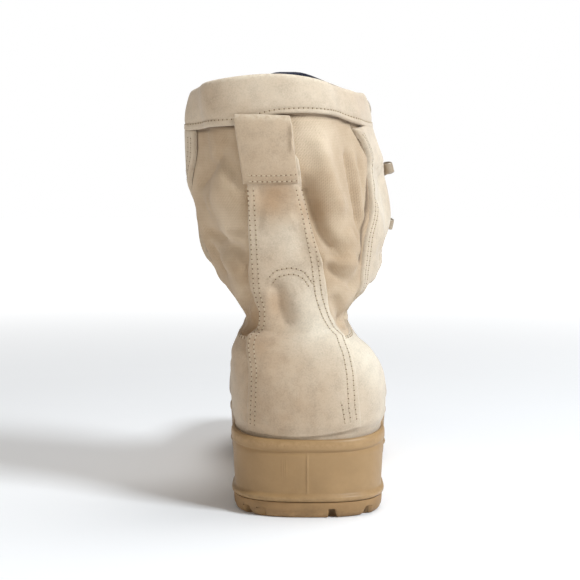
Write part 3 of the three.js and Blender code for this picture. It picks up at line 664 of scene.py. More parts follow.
class Draft:
    """Grids of four-sided faces that become one mesh, with a map, an edge mark and a tone on each point."""

    def __init__(self, name: str, finishes: Sequence[Finish]) -> None:
        """Start an empty draft.

        Args:
            name: Name of the piece.
            finishes: Its finishes; patches name them by index.
        """
        self.name = name
        self.finishes = list(finishes)
        self.points: list[Array] = []
        self.maps: list[Array] = []
        self.edges: list[Array] = []
        self.tones: list[Array] = []
        self.faces: list[Array] = []
        self.slots: list[Array] = []
        self.count = 0

    def patch(
        self,
        points: Array,
        maps: Array | None = None,
        edge: Array | None = None,
        tone: Array | None = None,
        slot: int = 0,
    ) -> None:
        """Add a grid of points, or many grids of one size, joined by faces along rows and columns.

        Args:
            points: Grid of points in millimetres; many grids lie on one more axis in front.
            maps: Two map figures in metres for each point.
            edge: 1 on a marked edge, 0 away from it; it carries scuffed wear, painted highlight on the foxing
                and the pull loop, and painted seam shadow on the nylon.
            tone: Above 0 where the finish is paler than usual, below 0 where it is darker.
            slot: Index of the finish.
        """
        grid = points.shape[:-1]
        total = math.prod(grid)
        ids = self.count + np.arange(total).reshape(grid)
        low, high = ids[..., :-1, :], ids[..., 1:, :]
        quads = np.stack([low[..., :-1], low[..., 1:], high[..., 1:], high[..., :-1]], axis=-1).reshape(-1, 4)
        self.points.append(points.reshape(-1, 3))
        self.maps.append(np.zeros((total, 2)) if maps is None else maps.reshape(-1, 2))
        for marks, given in ((self.edges, edge), (self.tones, tone)):
            marks.append(np.zeros(total) if given is None else given.reshape(-1))
        self.faces.append(quads)
        self.slots.append(np.full(len(quads), slot))
        self.count += total

    def pillow(self, outer: Array, inner: Array, cover: Array, **dress: Array | int | None) -> None:
        """Add a closed slab: the outer face sinks to the inner one where the cover falls to 0.

        Each outer point is the inner one moved by the cover's share of the way between them.

        Args:
            outer: Grid of the outer face.
            inner: Grid of the inner face, point by point below the outer one.
            cover: 1 well inside the slab, 0 on its border.
            dress: Maps, edge, tone and slot, as in patch; inner_slot is the inner face's finish.
        """
        inner_slot = dress.pop("inner_slot", None)
        self.patch(lerp(inner, outer, cover[..., None]), **dress)
        if inner_slot is not None:
            dress["slot"] = inner_slot
        turned = {k: (v[::-1] if isinstance(v, np.ndarray) else v) for k, v in dress.items()}
        self.patch(inner[::-1], **turned)

    def build(self, materials: dict[Finish, Material], sharp: float = 50.0) -> Piece:
        """Make the mesh and its object, weld what meets, and turn the faces outwards.

        Args:
            materials: The boot's materials.
            sharp: Angle in degrees past which an edge is drawn sharp.

        Returns:
            The new object, at the origin.
        """
        mesh = bpy.data.meshes.new(self.name)
        points = np.concatenate(self.points) * MM
        faces = np.concatenate(self.faces)
        mesh.vertices.add(len(points))
        mesh.vertices.foreach_set("co", points.astype(np.float32).ravel())
        mesh.loops.add(faces.size)
        mesh.loops.foreach_set("vertex_index", faces.astype(np.int32).ravel())
        mesh.polygons.add(len(faces))
        mesh.polygons.foreach_set("loop_start", np.arange(0, faces.size, 4, dtype=np.int32))
        mesh.polygons.foreach_set("material_index", np.concatenate(self.slots).astype(np.int32))
        mesh.update(calc_edges=True)
        maps = np.concatenate(self.maps)[faces.ravel()]
        mesh.uv_layers.new(name="UVMap").data.foreach_set("uv", maps.astype(np.float32).ravel())
        for name, values in (("edge", self.edges), ("tone", self.tones)):
            layer = mesh.attributes.new(name, "FLOAT", "POINT")
            layer.data.foreach_set("value", np.concatenate(values).astype(np.float32))
        skin = bmesh.new()
        skin.from_mesh(mesh)
        bmesh.ops.remove_doubles(skin, verts=skin.verts, dist=2e-6)
        bmesh.ops.recalc_face_normals(skin, faces=skin.faces)
        skin.to_mesh(mesh)
        skin.free()
        mesh.polygons.foreach_set("use_smooth", np.ones(len(mesh.polygons), dtype=bool))
        mesh.set_sharp_from_angle(angle=math.radians(sharp))
        piece = bpy.data.objects.new(self.name, mesh)
        for finish in self.finishes:
            mesh.materials.append(materials[finish])
        bpy.context.scene.collection.objects.link(piece)
        return piece


def settle(piece: Piece, slot: Finish, *nodes: str) -> Piece:
    """Let a piece ride on the boot, hide the nodes that it stands for, and report it.

    Args:
        piece: The piece.
        slot: Finish of its material slot; not used.
        *nodes: Nodes that it stands for.

    Returns:
        The same piece.
    """
    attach(piece, "root")
    if nodes:
        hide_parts(*nodes)
    log.info("%s: %d faces", piece.name, len(piece.data.polygons))
    return piece


def lipped(
    count: int, length: float, lip: float, low: bool = True, high: bool = True, steps: int = 5
) -> Array:
    """Distances along a panel, close together inside the rounded lip at either end.

    The distances in a lip follow 1 less the cosine of an even quarter turn, times the lip.

    Args:
        count: Even steps between the lips.
        length: Length of the panel.
        lip: Radius of the rounding.
        low: Whether the near end has a lip.
        high: Whether the far end has one.
        steps: Points in a lip.

    Returns:
        Rising distances from 0 to the length.
    """
    curve = lip * (1.0 - np.cos(np.linspace(0.0, math.pi / 2, steps)))
    start = lip if low else 0.0
    end = length - lip if high else length
    parts = [np.linspace(start, end, count)]
    if low:
        parts.insert(0, curve[:-1])
    if high:
        parts.append((length - curve[::-1])[1:])
    return np.concatenate(parts)


def rounding(distance: Array, lip: float) -> Array:
    """Cover near an edge: a quarter circle that is 0 on the edge and 1 from the lip inwards."""
    return np.sqrt(np.maximum(0.0, 1.0 - (1.0 - clamp01(distance / lip)) ** 2))


def smooth_line(points: Sequence[Sequence[float]], count: int) -> Array:
    """Even points along a curve through the given ones: monotone cubics over the chord length, walked evenly.

    Args:
        points: Rows of figures.
        count: Number of points.

    Returns:
        Rows of the same width.
    """
    table = np.asarray(points, float)
    chord = walked_along(table)
    fine = Through(chord, table)(np.linspace(0.0, chord[-1], 40 * len(table)))
    walked = walked_along(fine)
    even = np.linspace(0.0, walked[-1], count)
    return np.stack([np.interp(even, walked, fine[:, k]) for k in range(table.shape[1])], axis=-1)


def relief_of(form: UpperForm, folds: Sequence[Fold]) -> Array:
    """Height of all folds over the form's table.

    A fold's height falls off across it as e to the minus (distance / width) to the power of its sharpness,
    and is eased to nothing over the first and last fifth of its length.

    Args:
        form: The upper, not yet folded.
        folds: The folds.

    Returns:
        Millimetres out of the skin, over the table's levels and turns.
    """
    skin = form.surface(form.turns[None, :], form.levels[:, None])
    total = np.zeros(skin.shape[:2])
    for fold in folds:
        places = np.array(fold.places) * [form.sizes.shaft_width, form.sizes.rise]
        line = smooth_line(places, 30)
        spine = form.surface(*form.spot(line[:, 0], line[:, 1]))
        reach = 3.2 * fold.width
        near = np.all((skin > spine.min(0) - reach) & (skin < spine.max(0) + reach), axis=-1)
        gap = np.linalg.norm(skin[near][:, None, :] - spine[None, :, :], axis=-1)
        which = np.argmin(gap, axis=1)
        along = which / (len(spine) - 1)
        taper = ease(along / 0.2) * ease((1.0 - along) / 0.2)
        total[near] += fold.rise * taper * np.exp(-((gap.min(axis=1) / fold.width) ** fold.sharp))
    return total


class Nodes:
    """A short way to lay out a node tree."""

    def __init__(self, tree: bpy.types.NodeTree) -> None:
        """Keep the tree that nodes are added to."""
        self.tree = tree

    def add(
        self, kind: str, inputs: dict[str | int, object] | None = None, **settings: object
    ) -> bpy.types.Node:
        """Add a node, set its options, and set or link its inputs.

        Args:
            kind: Type of the node, without the leading ShaderNode.
            inputs: Values or sockets, by input name or index.
            settings: Options of the node.

        Returns:
            The new node.
        """
        node = self.tree.nodes.new(kind if kind.startswith("NodeGroup") else "ShaderNode" + kind)
        for name, value in settings.items():
            setattr(node, name, value)
        return self.fill(node, inputs or {})

    def fill(self, node: bpy.types.Node, inputs: dict[str | int, object]) -> bpy.types.Node:
        """Set or link a node's inputs, and return the node.

        Args:
            node: The node.
            inputs: Values or sockets, by input name or index.

        Returns:
            The same node.
        """
        for name, value in inputs.items():
            if isinstance(value, Socket):
                self.tree.links.new(value, node.inputs[name])
            else:
                node.inputs[name].default_value = value
        return node

    def math(self, operation: str, *values: object) -> Socket:
        """Add a Math node and return its result."""
        node = self.add("Math", dict(enumerate(values)), operation=operation)
        return node.outputs[0]

    def ramp(self, factor: Socket, *stops: tuple[float, float]) -> Socket:
        """Add a grey colour ramp with the given places and greys, and return its result.

        Args:
            factor: What is looked up.
            *stops: Place and grey of each stop, in order.

        Returns:
            The grey found.
        """
        node = self.add("ValToRGB", {"Fac": factor})
        band = node.color_ramp.elements
        band[0].position, band[1].position = stops[0][0], stops[-1][0]
        band[0].color = (*[stops[0][1]] * 3, 1.0)
        band[1].color = (*[stops[-1][1]] * 3, 1.0)
        for place, grey in stops[1:-1]:
            band.new(place).color = (grey, grey, grey, 1.0)
        return node.outputs[0]

    def blend(self, factor: object, a: object, b: object, mode: str = "MIX") -> Socket:
        """Mix two colours and return the result."""
        node = self.add("Mix", {"Factor": factor, "A": a, "B": b}, data_type="RGBA", blend_type=mode)
        return node.outputs["Result"]

    def group(self, name: str, **inputs: object) -> bpy.types.Node:
        """Place a node group with its own values.

        Args:
            name: Name of the group.
            **inputs: Values or sockets, by input name in small letters.

        Returns:
            The group's node.
        """
        node = self.tree.nodes.new("ShaderNodeGroup")
        node.node_tree = bpy.data.node_groups[name]
        return self.fill(node, {label.capitalize(): value for label, value in inputs.items()})


def open_group(
    name: str, inputs: dict[str, object], outputs: dict[str, str]
) -> tuple[Nodes, dict[str, Socket], bpy.types.Node]:
    """Start a shader node group.

    Args:
        name: Name of the group.
        inputs: Default of each input: a figure, a colour of four figures, or None for a vector.
        outputs: Kind of each output: Float, Color or Vector.

    Returns:
        Its nodes, its input sockets by name, and its output node.
    """
    tree = bpy.data.node_groups.new(name, "ShaderNodeTree")
    for label, default in inputs.items():
        kind = "Vector" if default is None else "Color" if isinstance(default, tuple) else "Float"
        socket = tree.interface.new_socket(label, in_out="INPUT", socket_type="NodeSocket" + kind)
        if default is not None:
            socket.default_value = default
    for label, kind in outputs.items():
        tree.interface.new_socket(label, in_out="OUTPUT", socket_type="NodeSocket" + kind)
    nodes = Nodes(tree)
    entry = nodes.add("NodeGroupInput")
    return nodes, {s.name: s for s in entry.outputs}, nodes.add("NodeGroupOutput")


def make_grain_group() -> None:
    """Grain: fine noise over coarse noise, put out as a value and as a bumped normal."""
    nodes, given, end = open_group(
        "Grain",
        {"Vector": None, "Scale": 900.0, "Coarse": 0.5, "Depth": 0.3, "Height": 0.0005},
        {"Value": "Float", "Normal": "Vector"},
    )
    fine = nodes.add(
        "TexNoise", {"Vector": given["Vector"], "Scale": given["Scale"], "Detail": 5.0, "Roughness": 0.7}
    )
    broad_scale = nodes.math("MULTIPLY", given["Scale"], 0.13)
    broad = nodes.add("TexNoise", {"Vector": given["Vector"], "Scale": broad_scale, "Detail": 3.0})
    value = nodes.add(
        "Mix", {"Factor": given["Coarse"], "A": fine.outputs["Fac"], "B": broad.outputs["Fac"]}
    ).outputs[0]
    bump = nodes.add("Bump", {"Height": value, "Strength": given["Depth"], "Distance": given["Height"]})
    nodes.fill(end, {"Value": value, "Normal": bump.outputs["Normal"]})


def make_cloud_group() -> None:
    """Cloud: a soft blotchy mix of two colours, moved by the tone that was laid on the piece, which on the
    upper and the foxing paints light and shade.
    """
    nodes, given, end = open_group(
        "Cloud",
        {
            "Vector": None, "Pale": (1.0, 1.0, 1.0, 1.0), "Deep": (0.5, 0.5, 0.5, 1.0), "Scale": 30.0,
            "Tone": 0.0, "Contrast": 1.6,
        },
        {"Color": "Color", "Mask": "Float"},
    )
    soft = nodes.add(
        "TexNoise", {"Vector": given["Vector"], "Scale": given["Scale"], "Detail": 6.0, "Roughness": 0.62}
    )
    centred = nodes.math("SUBTRACT", soft.outputs["Fac"], 0.5)
    stretched = nodes.math("MULTIPLY", centred, given["Contrast"])
    shifted = nodes.math("SUBTRACT", nodes.math("SUBTRACT", 0.5, stretched), given["Tone"])
    mask = nodes.add("Clamp", {"Value": shifted}).outputs[0]
    nodes.fill(end, {"Color": nodes.blend(mask, given["Pale"], given["Deep"]), "Mask": mask})


def make_weave_group() -> None:
    """Weave: plain cloth, where crossing threads rise in turn.
    """
    nodes, given, end = open_group(
        "Weave",
        {"Vector": None, "Threads": 1400.0, "Depth": 0.4, "Height": 0.0003},
        {"Value": "Float", "Normal": "Vector"},
    )
    parts = nodes.add("SeparateXYZ", {"Vector": given["Vector"]})
    across = nodes.math("MULTIPLY", parts.outputs["X"], given["Threads"])
    along = nodes.math("MULTIPLY", parts.outputs["Y"], given["Threads"])
    warp = nodes.math("ABSOLUTE", nodes.math("SINE", nodes.math("MULTIPLY", across, math.pi)))
    weft = nodes.math("ABSOLUTE", nodes.math("SINE", nodes.math("MULTIPLY", along, math.pi)))
    cells = nodes.add("CombineXYZ", {"X": across, "Y": along, "Z": 0.5})
    check = nodes.add("TexChecker", {"Vector": cells.outputs[0], "Scale": 1.0})
    height = nodes.add("Mix", {"Factor": check.outputs["Fac"], "A": warp, "B": weft}).outputs[0]
    bump = nodes.add("Bump", {"Height": height, "Strength": given["Depth"], "Distance": given["Height"]})
    nodes.fill(end, {"Value": height, "Normal": bump.outputs["Normal"]})


def make_low_darkening_group() -> None:
    """LowDarkening: a darker colour laid over another one near the floor and in the hollows of a noise."""
    nodes, given, end = open_group(
        "LowDarkening",
        {
            "Vector": None, "Color": (0.5, 0.5, 0.5, 1.0), "Dirt": (0.2, 0.15, 0.1, 1.0), "Amount": 0.4,
            "Top": 0.05, "Scale": 60.0,
        },
        {"Color": "Color"},
    )
    height = nodes.add("SeparateXYZ", {"Vector": given["Vector"]}).outputs["Z"]
    low = nodes.add(
        "MapRange", {"Value": height, "From Min": 0.0, "From Max": given["Top"], "To Min": 1.0, "To Max": 0.0}
    )
    specks = nodes.add(
        "TexNoise", {"Vector": given["Vector"], "Scale": given["Scale"], "Detail": 8.0, "Roughness": 0.7}
    )
    patchy = nodes.ramp(specks.outputs["Fac"], (0.38, 0.0), (0.68, 1.0))
    share = nodes.math("MULTIPLY", nodes.math("MULTIPLY", low.outputs[0], patchy), given["Amount"])
    nodes.fill(end, {"Color": nodes.blend(share, given["Color"], given["Dirt"])})


def make_wear_and_highlight_group() -> None:
    """WearAndHighlight: a paler tint along the marked edges, broken up by noise; it is scuffed wear on the
    suede's and the tread's edges and on the hardware, and painted highlight on the foxing's lip and bead and
    on the pull loop's rolled top.
    """
    nodes, given, end = open_group(
        "WearAndHighlight",
        {
            "Vector": None, "Color": (0.5, 0.5, 0.5, 1.0), "Rubbed": (0.8, 0.75, 0.6, 1.0), "Edge": 0.0,
            "Amount": 0.6,
        },
        {"Color": "Color", "Mask": "Float"},
    )
    specks = nodes.add(
        "TexNoise", {"Vector": given["Vector"], "Scale": 420.0, "Detail": 4.0, "Roughness": 0.6}
    )
    broken = nodes.ramp(specks.outputs["Fac"], (0.36, 0.0), (0.6, 1.0))
    share = nodes.math("MULTIPLY", nodes.math("MULTIPLY", given["Edge"], broken), given["Amount"])
    nodes.fill(end, {"Color": nodes.blend(share, given["Color"], given["Rubbed"]), "Mask": share})


class Paint(Nodes):
    """A new material: its nodes, its shader, and the coordinates and marks that the finishes read."""

    def __init__(self, name: str) -> None:
        """Start the material.

        Args:
            name: Name of the material.
        """
        self.made = bpy.data.materials.new(name)
        self.made.use_nodes = True
        super().__init__(self.made.node_tree)
        self.shader = self.tree.nodes["Principled BSDF"]
        coordinates = self.add("TexCoord")
        self.place, self.map = coordinates.outputs["Object"], coordinates.outputs["UV"]

    def mark(self, name: str) -> Socket:
        """Value of a point attribute: edge or tone."""
        return self.add("Attribute", attribute_name=name).outputs["Fac"]

    def done(self, inputs: dict[str, object]) -> Material:
        """Fill the shader's inputs with values or sockets and return the material."""
        self.fill(self.shader, inputs)
        return self.made


def colour(red: float, green: float, blue: float) -> Colour:
    """Linear colour from display values between 0 and 255.

    Args:
        red: Red.
        green: Green.
        blue: Blue.

    Returns:
        Four linear figures.
    """
    def linear(value: float) -> float:
        """Undo the display curve for one channel."""
        share = value / 255.0
        return share / 12.92 if share <= 0.04045 else ((share + 0.055) / 1.055) ** 2.4

    return (linear(red), linear(green), linear(blue), 1.0)


@dataclass(frozen=True)
class Hide:
    """A suede or smooth skin: its two colours, its nap and its roughness."""

    name: str
    pale: Colour
    deep: Colour
    rubbed: Colour
    nap: float = 1100.0
    depth: float = 0.35
    blotch: float = 20.0
    contrast: float = 1.15

    def material(self) -> Material:
        """Build the material: clouded colour, specks of nap, a cream tint along the marked edges, and a soft
        sheen; the cream is scuffed wear on the panels' edges and painted highlight on the pull loop's rolled
        top.

        Returns:
            The material.
        """
        nodes = Paint(self.name)
        place = nodes.place
        tone = nodes.mark("tone")
        edge = nodes.mark("edge")
        cloud = nodes.group(
            "Cloud", vector=place, pale=self.pale, deep=self.deep, scale=self.blotch, tone=tone,
            contrast=self.contrast
        )
        grain = nodes.group(
            "Grain", vector=place, scale=self.nap, coarse=0.35, depth=self.depth, height=0.0006
        )
        specks = nodes.ramp(grain.outputs["Value"], (0.32, 0.74), (0.52, 1.0), (0.7, 1.1))
        napped = nodes.blend(0.8, cloud.outputs["Color"], specks, "MULTIPLY")
        # Cream along the marked edges: scuffed wear on the panels, and painted highlight on the pull loop's
        # rolled top.
        edge_tinted = nodes.group("WearAndHighlight", vector=place, color=napped, rubbed=self.rubbed, edge=edge, amount=0.55)
        return nodes.done({
            "Base Color": edge_tinted.outputs["Color"],
            "Normal": grain.outputs["Normal"],
            "Roughness": 0.92,
            "Specular IOR Level": 0.18,
            "Sheen Weight": 0.25,
            "Sheen Roughness": 0.55,
        })


@dataclass(frozen=True)
class Cloth:
    """A woven cloth on the piece's own map: two colours, threads to a metre and the depth of the weave."""

    name: str
    pale: Colour
    deep: Colour
    threads: float
    depth: float
    gap: float = 0.75
    seam_shadow: Colour = (0.13, 0.085, 0.05, 1.0)
    rough: float = 0.85
    sheen: float = 0.15
    blotch: float = 22.0
    seam_shadow_share: float = 0.0

    def material(self) -> Material:
        """Build the material: clouded colour, darker between the threads, with the weave as bump, and painted
        shadow along the marked edges.

        Returns:
            The material.
        """
        nodes = Paint(self.name)
        tone = nodes.mark("tone")
        cloud = nodes.group(
            "Cloud", vector=nodes.place, pale=self.pale, deep=self.deep, scale=self.blotch, tone=tone
        )
        weave = nodes.group("Weave", vector=nodes.map, threads=self.threads, depth=self.depth, height=0.0003)
        shade = nodes.ramp(weave.outputs["Value"], (0.0, self.gap), (0.55, 1.0), (1.0, 1.05))
        threads = nodes.blend(1.0, cloud.outputs["Color"], shade, "MULTIPLY")
        edge = nodes.mark("edge")
        # Painted shadow: the marked edges darken to the seam-shadow colour beside and under the overlays.
        seam_shadowed = nodes.blend(nodes.math("MULTIPLY", edge, self.seam_shadow_share), threads, self.seam_shadow)
        return nodes.done({
            "Base Color": seam_shadowed,
            "Normal": weave.outputs["Normal"],
            "Roughness": self.rough,
            "Specular IOR Level": 0.25,
            "Sheen Weight": self.sheen,
        })


@dataclass(frozen=True)
class Moulded:
    """Moulded rubber: two colours, grain, a darker colour near the floor and a gloss."""

    name: str
    pale: Colour
    deep: Colour
    dirt: Colour
    rough: float
    low_darkening: float
    top: float
    grain: float = 0.15

    def material(self) -> Material:
        """Build the material: clouded colour, a paler tint along the marked edges (painted highlight on the
        foxing's lip and bead, scuffed wear on the tread's lower edge), a darker colour in patches towards the
        floor, and uneven gloss.

        Returns:
            The material.
        """
        nodes = Paint(self.name)
        place = nodes.place
        tone = nodes.mark("tone")
        edge = nodes.mark("edge")
        cloud = nodes.group(
            "Cloud", vector=place, pale=self.pale, deep=self.deep, scale=24.0, tone=tone, contrast=1.3
        )
        # Paler along the marked edges: painted highlight on the foxing's lip and bead, and scuffed wear on
        # the tread's lower edge.
        edge_tinted = nodes.group(
            "WearAndHighlight", vector=place, color=cloud.outputs["Color"], rubbed=self.pale, edge=edge, amount=0.9
        )
        low_darkened = nodes.group(
            "LowDarkening", vector=place, color=edge_tinted.outputs["Color"], dirt=self.dirt, amount=self.low_darkening, top=self.top,
            scale=85.0
        )
        grain = nodes.group("Grain", vector=place, scale=700.0, coarse=0.6, depth=self.grain, height=0.0004)
        gloss = nodes.add(
            "MapRange",
            {
                "Value": grain.outputs["Value"], "From Min": 0.3, "From Max": 0.7,
                "To Min": self.rough - 0.08, "To Max": self.rough + 0.1,
            },
        )
        return nodes.done({
            "Base Color": low_darkened.outputs["Color"],
            "Roughness": gloss.outputs[0],
            "Normal": grain.outputs["Normal"],
            "Specular IOR Level": 0.4,
        })


@dataclass(frozen=True)
class BakedPaint:
    """Painted metal, scuffed to the bare metal along its edges."""

    name: str
    paint: Colour
    shade: Colour
    metal: Colour

    def material(self) -> Material:
        """Build the material: mottled paint, bare metal where the edge mark and a noise agree.

        Returns:
            The material.
        """
        nodes = Paint(self.name)
        place = nodes.place
        edge = nodes.mark("edge")
        cloud = nodes.group(
            "Cloud", vector=place, pale=self.paint, deep=self.shade, scale=160.0, tone=0.1, contrast=1.8
        )
        edge_tinted = nodes.group(
            "WearAndHighlight", vector=place, color=cloud.outputs["Color"], rubbed=self.metal, edge=edge, amount=0.9
        )
        grain = nodes.group("Grain", vector=place, scale=1500.0, coarse=0.4, depth=0.12, height=0.0002)
        return nodes.done({
            "Base Color": edge_tinted.outputs["Color"],
            "Metallic": edge_tinted.outputs["Mask"],
            "Normal": grain.outputs["Normal"],
            "Roughness": 0.46,
        })


def make_materials() -> dict[Finish, Material]:
    """Build the shared groups and then the boot's materials.

    Returns:
        A material for each finish.
    """
    for make in (make_grain_group, make_cloud_group, make_weave_group, make_low_darkening_group, make_wear_and_highlight_group):
        make()
    cream = colour(236, 228, 205)
    return {
        Finish.SUEDE: Hide("suede", colour(214, 202, 182), colour(168, 140, 110), cream).material(),
        Finish.TAB: Hide("tab_suede", colour(200, 182, 158), colour(164, 138, 110), cream).material(),
        Finish.NYLON: Cloth(
            "nylon", colour(206, 186, 160), colour(158, 129, 96), 1150.0, 0.5, gap=0.8, seam_shadow_share=0.9
        ).material(),
        Finish.LINING: Cloth(
            "mesh_lining", colour(52, 56, 76), colour(26, 27, 38), 700.0, 0.8, gap=0.25
        ).material(),
        Finish.INSOLE: Cloth(
            "insole_cover", colour(58, 58, 62), colour(34, 34, 38), 900.0, 0.6, gap=0.5
        ).material(),
        Finish.LACE: Cloth(
            "braided_lace", colour(190, 166, 132), colour(150, 126, 94), 900.0, 0.9, gap=0.6
        ).material(),
        Finish.THREAD: Cloth(
            "thread", colour(216, 200, 172), colour(190, 168, 138), 3000.0, 0.5, gap=0.8
        ).material(),
        # Needle holes: dark brown marks between the stitches, painted shade inside the holes.
        Finish.HOLE: Hide(
            "needle_hole", colour(124, 98, 70), colour(96, 74, 52), colour(124, 98, 70)
        ).material(),
        Finish.FOXING: Moulded(
            "foxing", colour(172, 140, 99), colour(144, 113, 73), colour(104, 82, 54), 0.46, 0.4, 0.045
        ).material(),
        Finish.RUBBER: Moulded(
            "outsole_rubber", colour(170, 135, 92), colour(138, 106, 68), colour(88, 70, 48), 0.6, 0.7, 0.012,
            0.25
        ).material(),
        Finish.HARDWARE: BakedPaint(
            "baked_paint", colour(168, 152, 130), colour(136, 118, 98), colour(190, 184, 172)
        ).material(),
    }


class WallRow(NamedTuple):
    """A point of the foxing's section: share of the wall's height, and millimetres out of the outline."""

    share: float
    out: float


WALL_ROWS = tuple(
    WallRow(*row)
    for row in (
        (0.0, -1.6), (0.012, -0.9), (0.03, -0.45), (0.06, -0.3), (0.085, -0.45), (0.1, -1.2),
        (0.115, -1.9), (0.14, -1.95), (0.22, -1.8), (0.3, -1.6), (0.38, -1.45), (0.45, -1.3),
        (0.54, -1.15), (0.62, -1.05), (0.7, -0.85), (0.76, -0.75), (0.785, -1.05), (0.8, -1.15),
        (0.815, -0.8), (0.83, -0.2), (0.86, 0.0), (0.92, 0.05), (0.96, -0.05), (0.985, -0.4),
        (1.0, -0.95), (1.0, -1.8), (0.993, -2.4), (0.97, -2.6),
    )
)


class GrooveRow(NamedTuple):
    """A pair of grooves across the tread: place along it, inner end, and the slant's tangent."""

    at: float
    start: float
    slant: float


GROOVE_ROWS = tuple(
    GrooveRow(*row)
    for row in (
        (0.035, 13.0, -0.084), (0.105, 13.0, 0.056), (0.175, 13.0, 0.199), (0.52, 11.0, 0.203),
        (0.575, 11.0, 0.203), (0.63, 11.0, 0.203), (0.685, 11.0, 0.203), (0.74, 11.0, 0.203),
        (0.8, 9.0, 0.309), (0.86, 9.0, 0.309), (0.915, 9.0, 0.309),
    )
)


@dataclass
class Sole:
    """Rubber tread, moulded foxing with its bed, and the insole plate; sizes in millimetres."""

    form: SoleForm
    materials: dict[Finish, Material]
    step: float = 1.25
    insole: float = 3.0
    rib: float = 0.45
    notches: tuple[float, float] = (-26.0, 14.0)

    def turns(self) -> Array:
        """Turns at even steps along the outline, closer together at the mould's rib behind the heel.

        Returns:
            Turns from minus a half to a half, the same on either side.
        """
        fine = np.linspace(0.0, 0.5, 4001) ** 1.6 / 0.5**0.6
        line = self.form.outline(fine, 0.0)
        walked = walked_along(line)
        near = np.concatenate(
            [np.arange(0.0, 2.4, 0.3), np.arange(2.4, 11.0, 1.0), np.arange(11.0, 16.0, 0.35)]
        )
        far = np.linspace(16.0, walked[-1], int((walked[-1] - 16.0) / self.step))
        half = np.interp(np.concatenate([near, far]), walked, fine)
        return np.concatenate([-half[:0:-1], half])

    def ring(self, u: Array, out: Array | float, height: Callable[[Array], Array]) -> Array:
        """Points of the outline grown by out, at the height that a function of Y gives.

        Args:
            u: Turns.
            out: Growth in millimetres.
            height: Height by Y from the sole's back.

        Returns:
            Points.
        """
        line = self.form.outline(u, out)
        z = height(line[..., 1])
        return self.form.framed(np.concatenate([line, z[..., None]], axis=-1))

    def cap(
        self, u: Array, out: float, height: Callable[[Array], Array], rows: int,
        relief: Callable[[Array, Array], Array] | None = None,
    ) -> Array:
        """Rows that close a ring: each point moves evenly to the middle between itself and its mirror turn.

        Args:
            u: Turns of the ring.
            out: Growth of the ring.
            height: Height by Y from the sole's back.
            rows: Number of rows.
            relief: Height added by X and Y.

        Returns:
            Grid of points.
        """
        edge = self.form.outline(u, out)
        middle = 0.5 * (edge + self.form.outline(-u, out))
        share = np.linspace(0.0, 1.0, rows)[:, None, None]
        flat = lerp(edge[None], middle[None], share)
        z = height(flat[..., 1])
        if relief is not None:
            z = z + relief(flat[..., 0], flat[..., 1])
        return self.form.framed(np.concatenate([flat, z[..., None]], axis=-1))

    def foxing(self) -> Piece:
        """Ribbed wall with a lip above and a bead below, the rim's inner side, the bed and the underside.

        Returns:
            The new piece.
        """
        form = self.form
        u = self.turns()
        draft = Draft("midsole_foxing", [Finish.FOXING])
        share = np.array([row.share for row in WALL_ROWS])[:, None]
        out = np.array([row.out for row in WALL_ROWS])[:, None] + np.zeros(u.shape)
        across = form.outline(u, 0.0)[..., 0]
        behind = np.abs(u) < 0.1
        rib = np.exp(-((across / 0.55) ** 2)) * behind
        marks = sum(bell(across - x, 0.35) for x in (-14.6, -13.4, -12.2)) * behind
        wall = ease((share - 0.12) / 0.05) * ease((0.78 - share) / 0.04)
        low = ease((share - 0.4) / 0.05) * ease((0.7 - share) / 0.05)
        out = out + self.rib * rib * wall + 0.22 * marks * low
        line = form.outline(np.broadcast_to(u, out.shape), out)
        y = line[..., 1]
        z = lerp(form.underside(y), form.rim(y), share)
        wall_points = form.framed(np.concatenate([line, z[..., None]], axis=-1))
        # Painted highlight: the paler edge tint along the lip's crown and along the bead.
        edge = (bell(share - 0.92, 0.05) + bell(share - 0.05, 0.03)) * np.ones(u.shape)
        # Painted light and shade: paler towards the outer side, where the light falls, and darker towards the
        # inner side.
        tone = 0.18 * ease((across + 40.0) / 90.0) - 0.1 + np.zeros(out.shape)
        draft.patch(wall_points, edge=clamp01(edge), tone=tone)
        seat = form.sizes.seat_depth
        inside = np.stack(
            [
                wall_points[-1],
                self.ring(u, -2.7, lambda y: form.rim(y) - 3.0),
                self.ring(u, -2.8, lambda y: form.rim(y) - seat),
            ]
        )
        # Painted shade: the rim's inner side is darker.
        draft.patch(inside, tone=np.full(inside.shape[:2], -0.3))
        draft.patch(self.cap(u, -2.8, lambda y: form.rim(y) - seat, 8))
        under = np.stack([wall_points[0], self.ring(u, -6.0, form.underside)])
        draft.patch(under)
        draft.patch(self.cap(u, -6.0, form.underside, 6))
        return settle(draft.build(self.materials, sharp=60.0), Finish.FOXING, "midsole")

    def grooves(self, x: Array, y: Array) -> Array:
        """Height that the grooves take out of the tread: full inside a groove's width, eased at its walls.

        Args:
            x: Places across.
            y: Places from the sole's back.

        Returns:
            Millimetres.
        """
        s = self.form.sizes

        def band(distance: Array, half: float) -> Array:
            """1 within a half width of the line, falling to 0 over 0.9 mm."""
            return ease((half + 0.9 - np.abs(distance)) / 0.9)

        depth = np.zeros(np.shape(x))
        for row in GROOVE_ROWS:
            side = np.where(x >= 0.0, 1.0, -1.0)
            pivot = 0.5 * (row.start + s.ball_width)
            line = row.at * s.length + (np.abs(x) - pivot) * row.slant
            along = ease((side * x - row.start) / 1.5)
            depth = np.maximum(depth, along * band(y - line, 0.5 * s.groove_width))
        depth = np.maximum(depth, band(y - 0.245 * s.length, 2.5))
        spine = band(x + 2.0, 0.5 * s.groove_width) * ease(
            (0.13 * s.length - np.abs(y - 0.63 * s.length)) / 1.5
        )
        depth = np.maximum(depth, spine)
        for at in self.notches:
            depth = np.maximum(depth, band(x - at, 1.6) * ease((8.0 - y) / 1.0))
        return depth * s.groove_depth

